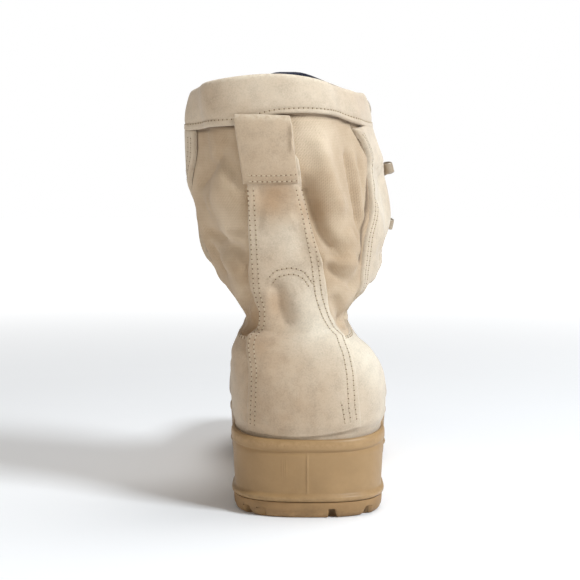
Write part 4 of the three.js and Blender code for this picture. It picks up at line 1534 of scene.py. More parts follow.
    def tread(self) -> Piece:
        """Outsole: a rounded edge, and an underside with grooves between its lugs.

        Returns:
            The new piece.
        """
        form = self.form
        u = self.turns()
        draft = Draft("outsole_tread", [Finish.RUBBER])
        top = form.sizes.tread
        profile = (
            (-1.6, top - 0.35), (-1.45, top - 1.6), (-1.5, 5.6), (-1.7, 3.6), (-2.0, 2.2), (-2.6, 0.9),
            (-3.4, 0.25), (-4.5, 0.0),
        )
        path = smooth_line(profile, 16)
        rows = []
        for out, height in path:
            ring = self.ring(u, out, lambda y, h=height: form.tread(y) + h)
            bite = self.grooves(ring[..., 0], ring[..., 1] + form.sizes.heel_middle)
            ring[..., 2] += bite * ease((form.sizes.groove_depth + 0.4 - height) / 1.2)
            rows.append(ring)
        side = np.stack(rows)
        edge = np.zeros(side.shape[:2])
        edge[9:] = 0.7
        draft.patch(side, edge=edge)
        draft.patch(self.cap(u, -4.5, form.tread, 44, self.grooves))
        draft.patch(self.cap(u, -1.6, lambda y: form.tread(y) + top - 0.35, 5))
        return settle(draft.build(self.materials, sharp=45.0), Finish.RUBBER, "outsole")

    def plate(self) -> Piece:
        """Insole: a plate on the bed with a rounded upper edge.

        Returns:
            The new piece.
        """
        form = self.form
        u = self.turns()[::3]
        inset = form.sizes.rim_wall + 0.2 + form.sizes.gap + 2.4 + 1.9
        bed = form.sizes.gap - form.sizes.seat_depth
        draft = Draft("insole_plate", [Finish.INSOLE])
        profile = (
            (-inset, 0.0), (-inset, 0.6 * self.insole), (-inset - 0.5, 0.9 * self.insole),
            (-inset - 1.6, self.insole),
        )
        rows = [self.ring(u, out, lambda y, h=height: form.rim(y) + bed + h) for out, height in profile]
        draft.patch(np.stack(rows))
        top = self.cap(u, -inset - 1.6, lambda y: form.rim(y) + bed + self.insole, 24)
        draft.patch(top, maps=top[..., :2] * MM)
        draft.patch(self.cap(u, -inset, lambda y: form.rim(y) + bed, 4))
        return settle(draft.build(self.materials), Finish.INSOLE, "insole")


class Spot(NamedTuple):
    """A patch of painted light where the amount is above 0 and painted shade where it is below: place walked
    from the back line and below the collar, radius, and amount.
    """

    arc: float
    drop: float
    radius: float
    amount: float


# Painted light and shade on the upper: patches are darker where the folds and the inner side lie in shade,
# and paler where the light falls.
SHADE_AND_LIGHT_SPOTS = tuple(
    Spot(*row)
    for row in (
        (-48.0, 60.0, 22.0, -0.1), (-30.0, 36.0, 14.0, 0.12), (-37.0, 80.0, 12.0, 0.35),
        (-29.0, 108.0, 10.0, -0.35), (44.0, 36.0, 16.0, 0.12), (20.0, 72.0, 8.0, -0.5),
        (22.0, 86.0, 8.0, -0.4), (24.0, 34.0, 12.0, 0.5), (33.0, 100.0, 10.0, -0.15),
        (33.0, 58.0, 8.0, 0.18), (30.0, 88.0, 10.0, 0.12), (-2.0, 66.0, 13.0, -0.6),
        (0.0, 90.0, 13.0, 0.25), (-4.0, 98.0, 10.0, -0.1), (8.0, 118.0, 12.0, 0.3),
        (-9.0, 124.0, 8.0, -0.4), (-5.0, 137.0, 9.0, -0.2), (12.0, 140.0, 16.0, 0.4),
        (-20.0, 152.0, 14.0, -0.3), (-4.0, 160.0, 10.0, -0.16), (0.0, 190.0, 18.0, -0.12),
        (-36.0, 150.0, 16.0, -0.3), (-40.0, 180.0, 24.0, -0.25), (40.0, 150.0, 18.0, 0.4),
        (48.0, 176.0, 22.0, 0.45), (-27.0, 132.0, 8.0, -0.2), (75.0, 70.0, 30.0, 0.2),
        (90.0, 40.0, 30.0, 0.22),
    )
)


# Turn of the seam between the quarters and the vamp, by level.
VAMP_SEAM = Through([0.7, 3.0, 5.0, Throat.BASE], [0.318, 0.345, 0.385, 0.425])


@dataclass
class Shaft:
    """Everything sewn: lower leather, nylon, overlays, collar, pull loop, lining and tongue."""

    form: UpperForm
    throat: Throat
    materials: dict[Finish, Material]
    backstay_rows: tuple[tuple[float, float, float], ...] = (
        (41.0, -16.6, 10.6), (46.0, -16.8, 14.4), (57.5, -16.3, 15.0), (82.0, -19.0, 17.9),
        (98.5, -20.5, 20.0), (110.0, -22.6, 21.4), (123.0, -21.4, 21.8), (130.5, -18.6, 22.5),
        (137.0, -19.6, 26.0), (145.0, -25.4, 29.4), (151.0, -28.4, 30.0), (160.0, -31.0, 29.6),
        (170.0, -33.5, 29.0), (182.0, -35.5, 29.4), (204.0, -38.0, 31.5),
    )
    panel_rows: dict[int, tuple[tuple[float, float], ...]] = field(
        default_factory=lambda: {
            1: (
                (16.0, 60.0), (23.0, 64.0), (30.0, 71.0), (41.4, 78.0), (55.7, 70.8), (69.7, 66.4),
                (86.0, 56.6), (104.0, 51.8),
            ),
            -1: (
                (16.0, 58.0), (34.0, 61.0), (48.0, 68.0), (62.0, 76.0), (78.0, 77.0), (92.0, 70.0),
                (104.0, 66.0),
            ),
        }
    )
    band_rows: tuple[tuple[float, float], ...] = (
        (-125.0, 22.0), (-58.0, 23.4), (-20.0, 24.6), (8.0, 18.6), (28.0, 17.4), (44.0, 17.5), (66.0, 19.7),
        (105.0, 21.8),
    )
    loop_half: float = 15.2
    loop_middle: float = -2.6

    def __post_init__(self) -> None:
        """Work out the painted light and shade over the skin, and the curves of the panels' edges."""
        spots = np.array(SHADE_AND_LIGHT_SPOTS)
        self.tone_places = self.form.surface(*self.form.spot(spots[:, 0], spots[:, 1]))
        self.tone_reach = spots[:, 2]
        self.tone_amounts = spots[:, 3]
        self.band_edge = Through([r[0] for r in self.band_rows], [r[1] for r in self.band_rows])
        self.backstay = Through([r[0] for r in self.backstay_rows], [r[1:] for r in self.backstay_rows])
        self.panel_edge = {
            k: Through([r[0] for r in rows], [r[1] for r in rows]) for k, rows in self.panel_rows.items()
        }

    def tone(self, points: Array) -> Array:
        """Tone at the points, as painted light and shade: each spot's amount, fading with distance as a bell
        curve of its radius.

        Args:
            points: Points in millimetres.

        Returns:
            A tone for each.
        """
        total = np.zeros(points.shape[:-1])
        for place, reach, amount in zip(self.tone_places, self.tone_reach, self.tone_amounts):
            gap = np.linalg.norm(points - place, axis=-1)
            total += amount * np.exp(-((gap / reach) ** 2))
        return total

    def slab(
        self, draft: Draft, u: Array, v: Array, inner: Array | float, outer: Array | float, cover: Array,
        slot: int = 0, inner_slot: int | None = None, mark: Array | float = 0.0,
    ) -> None:
        """Add a closed slab over a grid of turns and levels.

        Args:
            draft: The piece's draft.
            u: Turns; past a half they go on round the front.
            v: Levels.
            inner: Millimetres out of the skin of its inner face.
            outer: The same of its outer face.
            cover: 1 inside, 0 on the border.
            slot: Index of the outer finish.
            inner_slot: Index of the inner finish, if it is another one.
            mark: Edge mark beside the border's own, from 0 to 1; on the nylon it paints the shadow along the
                collar band's and the side panels' edges.
        """
        turn = (u + 0.5) % 1.0 - 0.5
        turn = np.where((turn == -0.5) & (u > 0.0), 0.5, turn)
        high = self.form.skin(turn, v, outer)
        low = self.form.skin(turn, v, inner)
        maps = np.stack([self.form.read(self.form.arc, turn, v), high[..., 2]], axis=-1) * MM
        edge = np.maximum(ease(1.0 - cover) * 0.5, mark)
        draft.pillow(
            high, low, cover, maps=maps, edge=edge, tone=self.tone(high), slot=slot, inner_slot=inner_slot
        )

    def sewn(self, draft: Draft) -> Piece:
        """Build a piece of the upper, in the slot of its outer finish."""
        return settle(draft.build(self.materials), draft.finishes[0], "upper")

    def quarter_top(self, u: Array) -> Array:
        """Level of the lower leather's upper edge: it rises towards the front."""
        return lerp(9.05, 9.7, ease((2.0 * np.abs(u) - 0.45) / 0.4))

    def vamp(self) -> Piece:
        """Lower leather over toes and instep, up to the throat's base; its rear lies under the quarters.

        Returns:
            The new piece.
        """
        draft = Draft("vamp_leather", [Finish.SUEDE, Finish.LINING])
        s = lipped(140, 1.0, 0.006)[None, :]
        r = lipped(84, 1.0, 0.012, low=False)[:, None]
        v = lerp(0.7, 6.55, r) + 0.0 * s
        half = Through([0.7, 3.0, 5.0, 6.6], [0.2, 0.17, 0.125, 0.07])(v)
        u = 0.5 + (2.0 * s - 1.0) * half
        cover = rounding(np.minimum(s, 1.0 - s), 0.006) * rounding(1.0 - r, 0.012)
        puff = 0.5 * bell(v - 4.4, 0.5) * bell(u - 0.5, 0.08)
        self.slab(draft, u, v, -1.2, 0.45 + puff, cover, 0, 1)
        return self.sewn(draft)

    def quarters(self) -> Piece:
        """Lower leather round the heel and both sides, from the bed to its upper edge.

        Returns:
            The new piece.
        """
        draft = Draft("quarter_leather", [Finish.SUEDE, Finish.LINING])
        s = lipped(310, 1.0, 0.003)[None, :]
        r = lipped(82, 1.0, 0.009, low=False)[:, None]
        level = lerp(0.7, 9.7, r)
        low_turn = VAMP_SEAM(np.minimum(level, Throat.BASE))
        high_level = np.maximum(level, Throat.BASE)
        sides = []
        for side in (-1, 1):
            throat = np.abs(self.throat.edge(side, high_level, 1.0))
            ramp = np.sqrt(clamp01((level - Throat.BASE) / 0.9))
            sides.append(np.where(level < Throat.BASE, low_turn, lerp(0.425, throat, ramp)))
        u = lerp(-sides[0], sides[1], s)
        v = lerp(0.7, self.quarter_top(u), r)
        cover = rounding(np.minimum(s, 1.0 - s), 0.003) * rounding(1.0 - r, 0.009)
        self.slab(draft, u, v, -1.25, 1.25, cover, 0, 1)
        return self.sewn(draft)

    def nylon(self) -> Piece:
        """Slack nylon of the shaft, from the lower leather's edge up under the collar band.

        Returns:
            The new piece.
        """
        draft = Draft("shaft_nylon", [Finish.NYLON, Finish.LINING])
        s = lipped(330, 1.0, 0.004)[None, :]
        r = lipped(100, 1.0, 0.01)[:, None]
        near = lerp(9.2, 14.2, r)
        u = lerp(self.throat.edge(-1, near, 1.0), self.throat.edge(1, near, 1.0), s)
        top = self.form.level_below(u, np.full(u.shape, 15.0))
        v = lerp(self.quarter_top(u) - 0.3, top, r)
        cover = rounding(np.minimum(s, 1.0 - s), 0.004) * rounding(np.minimum(r, 1.0 - r), 0.01)
        arc = self.form.read(self.form.arc, u, v)
        drop = self.form.read(self.form.drop, u, v)
        below_band = bell(drop - self.band_edge(arc) - 0.8, 1.9)
        rows = np.clip(drop, 16.0, 104.0)
        behind = [side * arc - self.panel_edge[side](rows) for side in (1, -1)]
        by_panel = sum(bell(gap + 0.9, 1.9) for gap in behind) * ease((106.0 - drop) / 6.0)
        groove = np.maximum(below_band, clamp01(by_panel))
        # The groove's cubed mark paints the shadow under the collar band's lower edge and beside the side
        # panels' rear edges.
        self.slab(draft, u, v, -1.25, -0.9 * groove, cover, 0, 1, mark=groove**3)
        return self.sewn(draft)

    def backstay_panel(self) -> Piece:
        """Backstay and counter in one: suede from the pull loop's foot down behind the heel into the foxing.

        Returns:
            The new piece.
        """
        draft = Draft("backstay_suede", [Finish.SUEDE])
        r = lipped(190, 1.0, 0.007, low=True, high=False)[:, None]
        s = lipped(60, 1.0, 0.028)[None, :]
        drop = lerp(41.0, 203.0, r)
        edges = self.backstay(drop[:, 0])
        arc = lerp(edges[:, :1], edges[:, 1:], s)
        slope = 2.6 * (1.0 - r) ** 12 * (1.0 - 2.0 * s)
        u, v = self.form.spot(arc, np.broadcast_to(drop + slope, arc.shape))
        over = ease((9.35 - v) / 0.35)
        cover = rounding(np.minimum(s, 1.0 - s), 0.028) * rounding(r, 0.007)
        out = lerp(1.75, 2.5, over)
        round_mark = np.exp(-((np.hypot(arc + 2.9, drop - 198.4) / 3.2) ** 6)) * 0.22
        self.slab(draft, u, v, lerp(-0.6, 0.6, over), out - round_mark, cover)
        return self.sewn(draft)

    def side_panel(self, side: int) -> Piece:
        """Light suede along the throat: wide beside the nylon, narrow below, folded round the throat's edge.

        Args:
            side: +1 for the outer one, -1 for the inner one.

        Returns:
            The new piece.
        """
        name = "side_panel_lateral" if side > 0 else "side_panel_medial"
        draft = Draft(name, [Finish.SUEDE])
        r = lipped(190, 1.0, 0.006)[:, None]
        front = 3.2
        s = lipped(64, 1.0, 0.018, high=False)[None, :]
        base = 6.7
        middle = self.throat.edge(side, np.array(self.form.top), 10.0)
        top = self.form.level_below(middle, np.asarray(17.0))
        v = lerp(base, top, r) + 0.0 * s
        drop = self.form.read(self.form.drop, np.full(v.shape, 0.22 * side), v)
        wide = side * self.form.turn_at(
            side * self.panel_edge[side](np.clip(drop[:, 0], 16.0, 104.0)), v[:, 0]
        )
        narrow = side * self.throat.edge(side, v[:, 0], lerp(22.0, 34.0, ease((v[:, 0] - 6.7) / 2.4)))
        rear = lerp(narrow, wide, ease((v[:, 0] - 9.0) / 0.7))[:, None]
        ahead = side * self.throat.edge(side, v[:, 0], -0.4)[:, None]
        u = side * lerp(rear, ahead, s)
        length = np.abs(
            self.form.read(self.form.arc, u[:, -1:], v[:, :1]) - self.form.read(self.form.arc, u, v)
        )
        turn_in = clamp01(1.0 - length / front)
        over = ease((self.quarter_top(u) + 0.1 - v) / 0.25)
        high = lerp(1.9, 2.1, over)
        low = lerp(lerp(-0.7, 0.5, over), -2.7, ease(clamp01(1.0 - length / 5.0)))
        lip = np.sqrt(np.maximum(0.0, 1.0 - clamp01((1.6 - length) / 1.6) ** 2))
        cover = rounding(s, 0.018) * rounding(np.minimum(r, 1.0 - r), 0.006) * lip
        self.slab(draft, u, v, low, high - 0.2 * turn_in, cover)
        return self.sewn(draft)

    def band(self) -> Piece:
        """Collar band: a padded strip rolled over the top edge, with a seam line above its lower edge.

        Returns:
            The new piece.
        """
        draft = Draft("collar_band", [Finish.SUEDE])
        outer = smooth_line(
            (
                (22.0, 0.15), (22.05, 1.2), (21.5, 1.9), (20.4, 2.15), (19.0, 2.05), (18.2, 1.75),
                (17.4, 2.1),
                (15.0, 2.5), (11.0, 2.75), (7.0, 2.65), (3.5, 2.3), (1.2, 1.7), (0.0, 0.8), (-0.5, -0.4),
                (-0.3, -1.7), (0.6, -2.7), (2.2, -3.1), (5.4, -3.1), (5.9, -2.7), (5.6, -2.45),
            ),
            54,
        )
        inner = smooth_line(
            ((22.0, 0.1), (12.0, 0.05), (2.5, 0.05), (1.2, -0.5), (1.0, -1.4), (1.8, -2.3), (5.6, -2.45)), 54
        )
        s = lipped(240, 1.0, 0.004)[None, :]
        level = np.full(s.shape, 14.4)
        u = lerp(self.throat.edge(-1, level, -0.2), self.throat.edge(1, level, -0.2), s)
        arc = self.form.read(self.form.arc, u, level)
        scale = self.band_edge(arc) / 22.0

        def grid(path: Array) -> Array:
            """Points of a section's path at all turns; below 6 mm it is stretched to the band's edge.

            Args:
                path: Drops and lifts of the section.

            Returns:
                Grid of points.
            """
            drop = path[:, :1]
            crown = 3.4 * bell(arc - 8.0, 34.0) * clamp01((8.0 - drop) / 6.0)
            stretched = np.where(drop > 6.0, 6.0 + (drop - 6.0) * (22.0 * scale - 6.0) / 16.0, drop) - crown
            return self.form.place(np.broadcast_to(u, stretched.shape), stretched, path[:, 1:] + 0.0 * u)

        high, low = grid(outer), grid(inner)
        cover = rounding(np.minimum(s, 1.0 - s), 0.004) * np.ones((len(outer), 1))
        maps = np.stack([arc + np.zeros(cover.shape), high[..., 2]], axis=-1) * MM
        edge = bell(outer[:, :1] - 0.0, 1.6) * (outer[:, 1:] > -2.5) * np.ones(s.shape) * 0.7
        draft.pillow(high, low, cover, maps=maps, edge=edge, tone=self.tone(high))
        return self.sewn(draft)

    def pull_loop(self) -> Piece:
        """Pull loop: one leather strip from its sewn foot up behind the collar, over, and down inside itself.

        Returns:
            The new piece.
        """
        draft = Draft("pull_loop_leather", [Finish.TAB])
        path = smooth_line(
            (
                (57.4, 2.3), (54.0, 2.6), (50.0, 2.9), (43.0, 3.7), (34.0, 4.9), (26.0, 5.8), (22.2, 5.7),
                (20.2, 5.0), (19.6, 4.2), (20.2, 3.5), (22.0, 3.0), (26.0, 2.3), (31.0, 1.6), (38.0, 1.3),
                (40.5, 1.3),
            ),
            90,
        )
        ahead = unit(np.gradient(path, axis=0))
        aside = np.stack([ahead[:, 1], -ahead[:, 0]], axis=1)
        across = lipped(36, 2.0 * self.loop_half, 0.8)[None, :] - self.loop_half
        far = rounding(self.loop_half - np.abs(across), 0.8)
        walked = np.linspace(0.0, 1.0, len(path))[:, None]
        ends = 0.35 + 0.65 * ease(walked / 0.05)
        ends = ends * rounding(np.minimum(walked, 1.0 - walked), 0.008)
        half = 0.82 * far * ends
        sag = 0.9 * np.sin(walked * math.pi) * (across / self.loop_half) ** 2
        level = np.full(across.shape, 13.6)
        u = self.form.turn_at(across + self.loop_middle, level)
        grids = []
        for sign in (1.0, -1.0):
            drop = path[:, :1] + sign * aside[:, :1] * half
            out = path[:, 1:] + sign * aside[:, 1:] * half - sag * 0.6
            tilt = 0.045 * (across + 2.0) * ease((40.0 - path[:, :1]) / 20.0)
            grids.append(self.form.place(np.broadcast_to(u, drop.shape), drop + tilt, out))
        maps = np.stack([across + 0.0 * walked, path[:, :1] + 0.0 * across], axis=-1) * MM
        edge = ease(1.0 - far) * np.ones(walked.shape)
        # Painted highlight: the edge tint along the rolled top.
        top = bell(path[:, :1] - 20.0, 2.0) * np.ones(across.shape) * 0.5
        draft.pillow(
            grids[0], grids[1], np.ones(half.shape), maps=maps, edge=np.maximum(edge, top),
            tone=self.tone(grids[0]),
        )
        return settle(draft.build(self.materials), Finish.TAB, "pull_loop")

    def lining(self) -> Piece:
        """Mesh lining on the wall's inner side, from the bed to the collar.

        Returns:
            The new piece.
        """
        draft = Draft("mesh_lining", [Finish.LINING])
        s = np.linspace(0.0, 1.0, 130)[None, :]
        base, top = Throat.BASE, 14.72
        start = base + 0.35 * np.linspace(0.02, 1.0, 6) ** 2
        r = np.concatenate([np.linspace(0.6, 6.19, 36), [base], start, np.linspace(6.6, top, 56)])[:, None]
        ramp = np.sqrt(clamp01((r - base) / 0.35))
        ends = [lerp(0.5 * side, self.throat.edge(side, np.maximum(r, base), 1.2), ramp) for side in (-1, 1)]
        u = lerp(ends[0], ends[1], s)
        v = r + 0.0 * s
        open_front = (r > base) * 1.0
        cover = lerp(1.0, rounding(np.minimum(s, 1.0 - s), 0.006), open_front) * rounding(top - r, 0.06)
        deeper = 0.65 * ease((14.6 - r) / 0.4)
        outer = self.form.skin(u, v, -1.32 - deeper)
        inner = self.form.skin(u, v, -2.35 - deeper)
        maps = np.stack([self.form.read(self.form.arc, u, v), outer[..., 2]], axis=-1) * MM
        draft.pillow(inner, outer, cover, maps=maps)
        return self.sewn(draft)

    def tongue(self) -> Piece:
        """Padded tongue behind the throat: nylon outside, mesh inside, suede over the part that stands up.

        Returns:
            The new piece.
        """
        draft = Draft("padded_tongue", [Finish.NYLON, Finish.LINING, Finish.SUEDE])
        above, below = (self.form.surface(np.array(0.5), np.array(level)) for level in (15.0, 14.5))
        stand = 6.4 / float(np.linalg.norm(above - below))
        reach = Through(
            [5.8, 7, 8, 9, 10, 11, 12, 15, 15 + 0.6 * stand, 15 + stand],
            [4, 4.5, 5, 5.5, 6, 7, 8, 6.6, 3.2, 1.9],
        )
        s = lipped(70, 1.0, 0.05)[None, :]
        r = lipped(150, 1.0, 0.018)[:, None]
        v = lerp(5.8, 15.0 + stand, r) + 0.0 * s
        corner = 0.8 * rounding(15.0 + stand - v[:, :1], 0.6) + 0.2
        u = 0.5 + (2.0 * s - 1.0) * reach(v[:, :1]) / 48.0 * corner
        turn = (u + 0.5) % 1.0 - 0.5
        cover = rounding(np.minimum(s, 1.0 - s), 0.05) * rounding(np.minimum(r, 1.0 - r), 0.018)
        quilt = 0.35 * np.cos((v - 6.0) * TAU / 1.1) * (1.0 - (2.0 * s - 1.0) ** 2)
        seam = 0.5 * bell(v - 14.35, 0.06)
        sink = np.minimum(self.form.read(self.form.relief, turn, v), 0.0)
        base, outward = self.form.surface(turn, v), self.form.normal(turn, v)
        low = base + outward * (sink - 7.6)[..., None]
        high = base + outward * (sink - 3.75 + quilt * 0.5 - seam)[..., None]
        middle = 0.5 * (low + high)
        maps = np.stack([(u - 0.5) * 300.0, high[..., 2]], axis=-1) * MM
        split = int(np.searchsorted(r[:, 0], (14.35 - 5.8) / (9.2 + stand)))
        for rows, slot in ((slice(0, split + 1), 0), (slice(split, None), 2)):
            part = lerp(middle, high, cover[..., None])[rows]
            draft.patch(part, maps=maps[rows], tone=np.full(part.shape[:2], 0.1), slot=slot)
        draft.patch(lerp(middle, low, cover[..., None])[::-1], maps=maps[::-1], slot=1)
        piece = settle(draft.build(self.materials), Finish.NYLON, "tongue")
        return piece


class Row(NamedTuple):
    """A piece of hardware: its kind and its distance below the collar along the throat."""

    kind: str
    below: float


HARDWARE_ROWS = tuple(
    Row(*row)
    for row in (
        ("collar_eyelet", 9.5), ("hook", 50.0), ("hook", 84.0), ("hook", 115.0), ("eyelet", 133.0),
        ("eyelet", 152.0), ("eyelet", 171.0), ("eyelet", 190.0),
    )
)
SIDES = {1: "lateral", -1: "medial"}


class Seat(NamedTuple):
    """Frame on the skin: origin, axis away from the throat, axis along it, outward normal."""

    origin: Array
    x: Array
    y: Array
    z: Array

    def place(self, points: Array) -> Array:
        """Move points from the seat's own axes to the boot's."""
        return self.origin + points[..., :1] * self.x + points[..., 1:2] * self.y + points[..., 2:3] * self.z


@dataclass
class Hardware:
    """Eyelets and speed hooks of both sides; sizes in millimetres."""

    form: UpperForm
    throat: Throat
    materials: dict[Finish, Material]
    inset: float = 10.0
    hook_length: float = 14.0
    hook_width: float = 8.0
    hook_stand: float = 6.0
    metal: float = 0.95

    def spot(self, side: int, below: float) -> tuple[float, float]:
        """Turn and level of a row's middle: on the eyelets' line, walked down from the collar.

        Args:
            side: +1 or -1.
            below: Millimetres below the collar.

        Returns:
            Turn and level.
        """
        top = self.throat.edge(side, np.array(self.form.top), self.inset)
        v = float(self.form.level_below(top, np.array(below)))
        return float(self.throat.edge(side, np.array(v), self.inset)), v

    def seat(self, side: int, row: Row) -> Seat:
        """Frame of a row's piece, on top of the leather that it is set in.

        Args:
            side: +1 or -1.
            row: The row.

        Returns:
            The frame.
        """
        u, v = (np.array(f) for f in self.spot(side, row.below))
        z = self.form.normal(u, v)
        up = unit(self.form.surface(u, v + 0.05) - self.form.surface(u, v - 0.05))
        x = unit(np.cross(up, z))
        y = np.cross(z, x)
        lift = (2.3 if row.kind == "collar_eyelet" else 1.7) + 0.6
        return Seat(self.form.surface(u, v) + z * lift, side * x, side * y, z)

    def eyelet(self, name: str, seat: Seat, node: str) -> Piece:
        """Rolled ring: a section of radius and height carried round the bore.

        Args:
            name: Name of the piece.
            seat: Its frame.
            node: Node that it stands for.

        Returns:
            The new piece.
        """
        section = smooth_line(
            (
                (2.4, -3.2), (2.4, -1.5), (2.4, 0.2), (2.62, 0.72), (3.1, 0.98), (3.9, 0.92), (4.7, 0.62),
                (5.3, 0.12), (5.4, -0.35), (5.1, -0.5), (4.4, -0.3), (3.3, -0.3), (3.2, -1.0), (3.2, -3.2),
                (2.4, -3.2),
            ),
            46,
        )
        section[-1] = section[0]
        turn = np.linspace(0.0, TAU, 41)[:, None]
        radius, height = section[None, :, 0], section[None, :, 1]
        points = np.stack([radius * np.cos(turn), radius * np.sin(turn), height + 0.0 * turn], axis=-1)
        edge = np.clip(bell(radius - 3.0, 0.5) * (height > 0.3) + (radius > 5.1) * 0.8, 0.0, 1.0)
        draft = Draft(name, [Finish.HARDWARE])
        draft.patch(seat.place(points), edge=edge + 0.0 * turn)
        return settle(draft.build(self.materials), Finish.HARDWARE, node)

    def hook(self, name: str, seat: Seat, node: str) -> Piece:
        """Speed hook: a riveted foot, a curl at the throat's side, and metal that comes back over it.

        Args:
            name: Name of the piece.
            seat: Its frame.
            node: Node that it stands for.

        Returns:
            The new piece.
        """
        draft = Draft(name, [Finish.HARDWARE])
        thick = self.metal
        curl = 0.5 * (self.hook_stand - thick)
        turn = np.linspace(-0.5 * math.pi, -1.5 * math.pi, 17)[1:-1]
        start = -0.5 * self.hook_length + 0.5 * self.hook_stand
        foot = np.stack([np.linspace(5.0, start, 14), np.full(14, 0.5 * thick)], axis=-1)
        bend = np.stack([start + curl * np.cos(turn), 0.5 * thick + curl + curl * np.sin(turn)], axis=-1)
        back_x = np.linspace(start, 6.0, 16)
        back = np.stack(
            [back_x, 0.5 * thick + 2.0 * curl + 0.35 * clamp01((back_x - 2.0) / 4.0) ** 2], axis=-1
        )
        path = np.concatenate([foot, bend, back])
        ahead = unit(np.gradient(path, axis=0))
        aside = np.stack([-ahead[:, 1], ahead[:, 0]], axis=1)
        half_width = 0.5 * self.hook_width
        waist = 1.0 - 0.22 * bell(path[:, 0] - start + curl, 3.2)
        walked = walked_along(path)
        from_end = np.minimum(walked, walked[-1] - walked)
        plan = half_width * waist * np.sqrt(
            np.maximum(0.0, 1.0 - (1.0 - clamp01(from_end / half_width)) ** 2)
        )
        plan = np.maximum(plan, 0.02)
        t = np.linspace(0.0, TAU, 21)[None, :]
        wide = np.sign(np.cos(t)) * np.abs(np.cos(t)) ** 0.35
        high = np.sign(np.sin(t)) * np.abs(np.sin(t)) ** 0.6
        swell = 0.5 * thick * np.minimum(1.0, plan / 1.5)[:, None] * high
        x = path[:, :1] + aside[:, :1] * swell
        z = path[:, 1:] + aside[:, 1:] * swell
        y = plan[:, None] * wide
        edge = ease((np.abs(wide) - 0.85) / 0.15) * np.ones(y.shape)
        draft.patch(seat.place(np.stack([x, y, z], axis=-1)), edge=edge)
        for centre, radius, base, rise in (
            (0.5, 3.4, 0.9 * thick, 0.9), (1.6, 3.1, self.hook_stand - 0.1, 1.0)
        ):
            share = np.linspace(0.0, 1.0, 9)[None, :]
            around = np.linspace(0.0, TAU, 25)[:, None]
            ring = radius * np.sin(share * 0.5 * math.pi)
            dome = base + rise * np.cos(share * 0.5 * math.pi)
            top = np.stack(
                [centre + ring * np.cos(around), ring * np.sin(around), dome + 0.0 * around], axis=-1
            )
            under = top.copy()
            under[..., 2] = base - 0.3
            under = np.where(share[..., None] * np.ones(top.shape) >= 1.0, top, under)
            draft.patch(seat.place(top), edge=0.4 * (share > 0.85) + 0.0 * around)
            draft.patch(seat.place(under[:, ::-1]))
        return settle(draft.build(self.materials, sharp=40.0), Finish.HARDWARE, node)

    def make(self) -> None:
        """Build every eyelet and hook on both sides."""
        for side, label in SIDES.items():
            hooks, rings = 0, 0
            for row in HARDWARE_ROWS:
                seat = self.seat(side, row)
                if row.kind == "hook":
                    hooks += 1
                    self.hook(f"speed_hook_{label}_{hooks}", seat, f"hook_{label}_{hooks}")
                elif row.kind == "collar_eyelet":
                    self.eyelet(f"collar_ring_{label}", seat, f"collar_eyelet_{label}")
                else:
                    rings += 1
                    self.eyelet(f"ring_{label}_{rings}", seat, f"eyelet_{label}_{rings}")


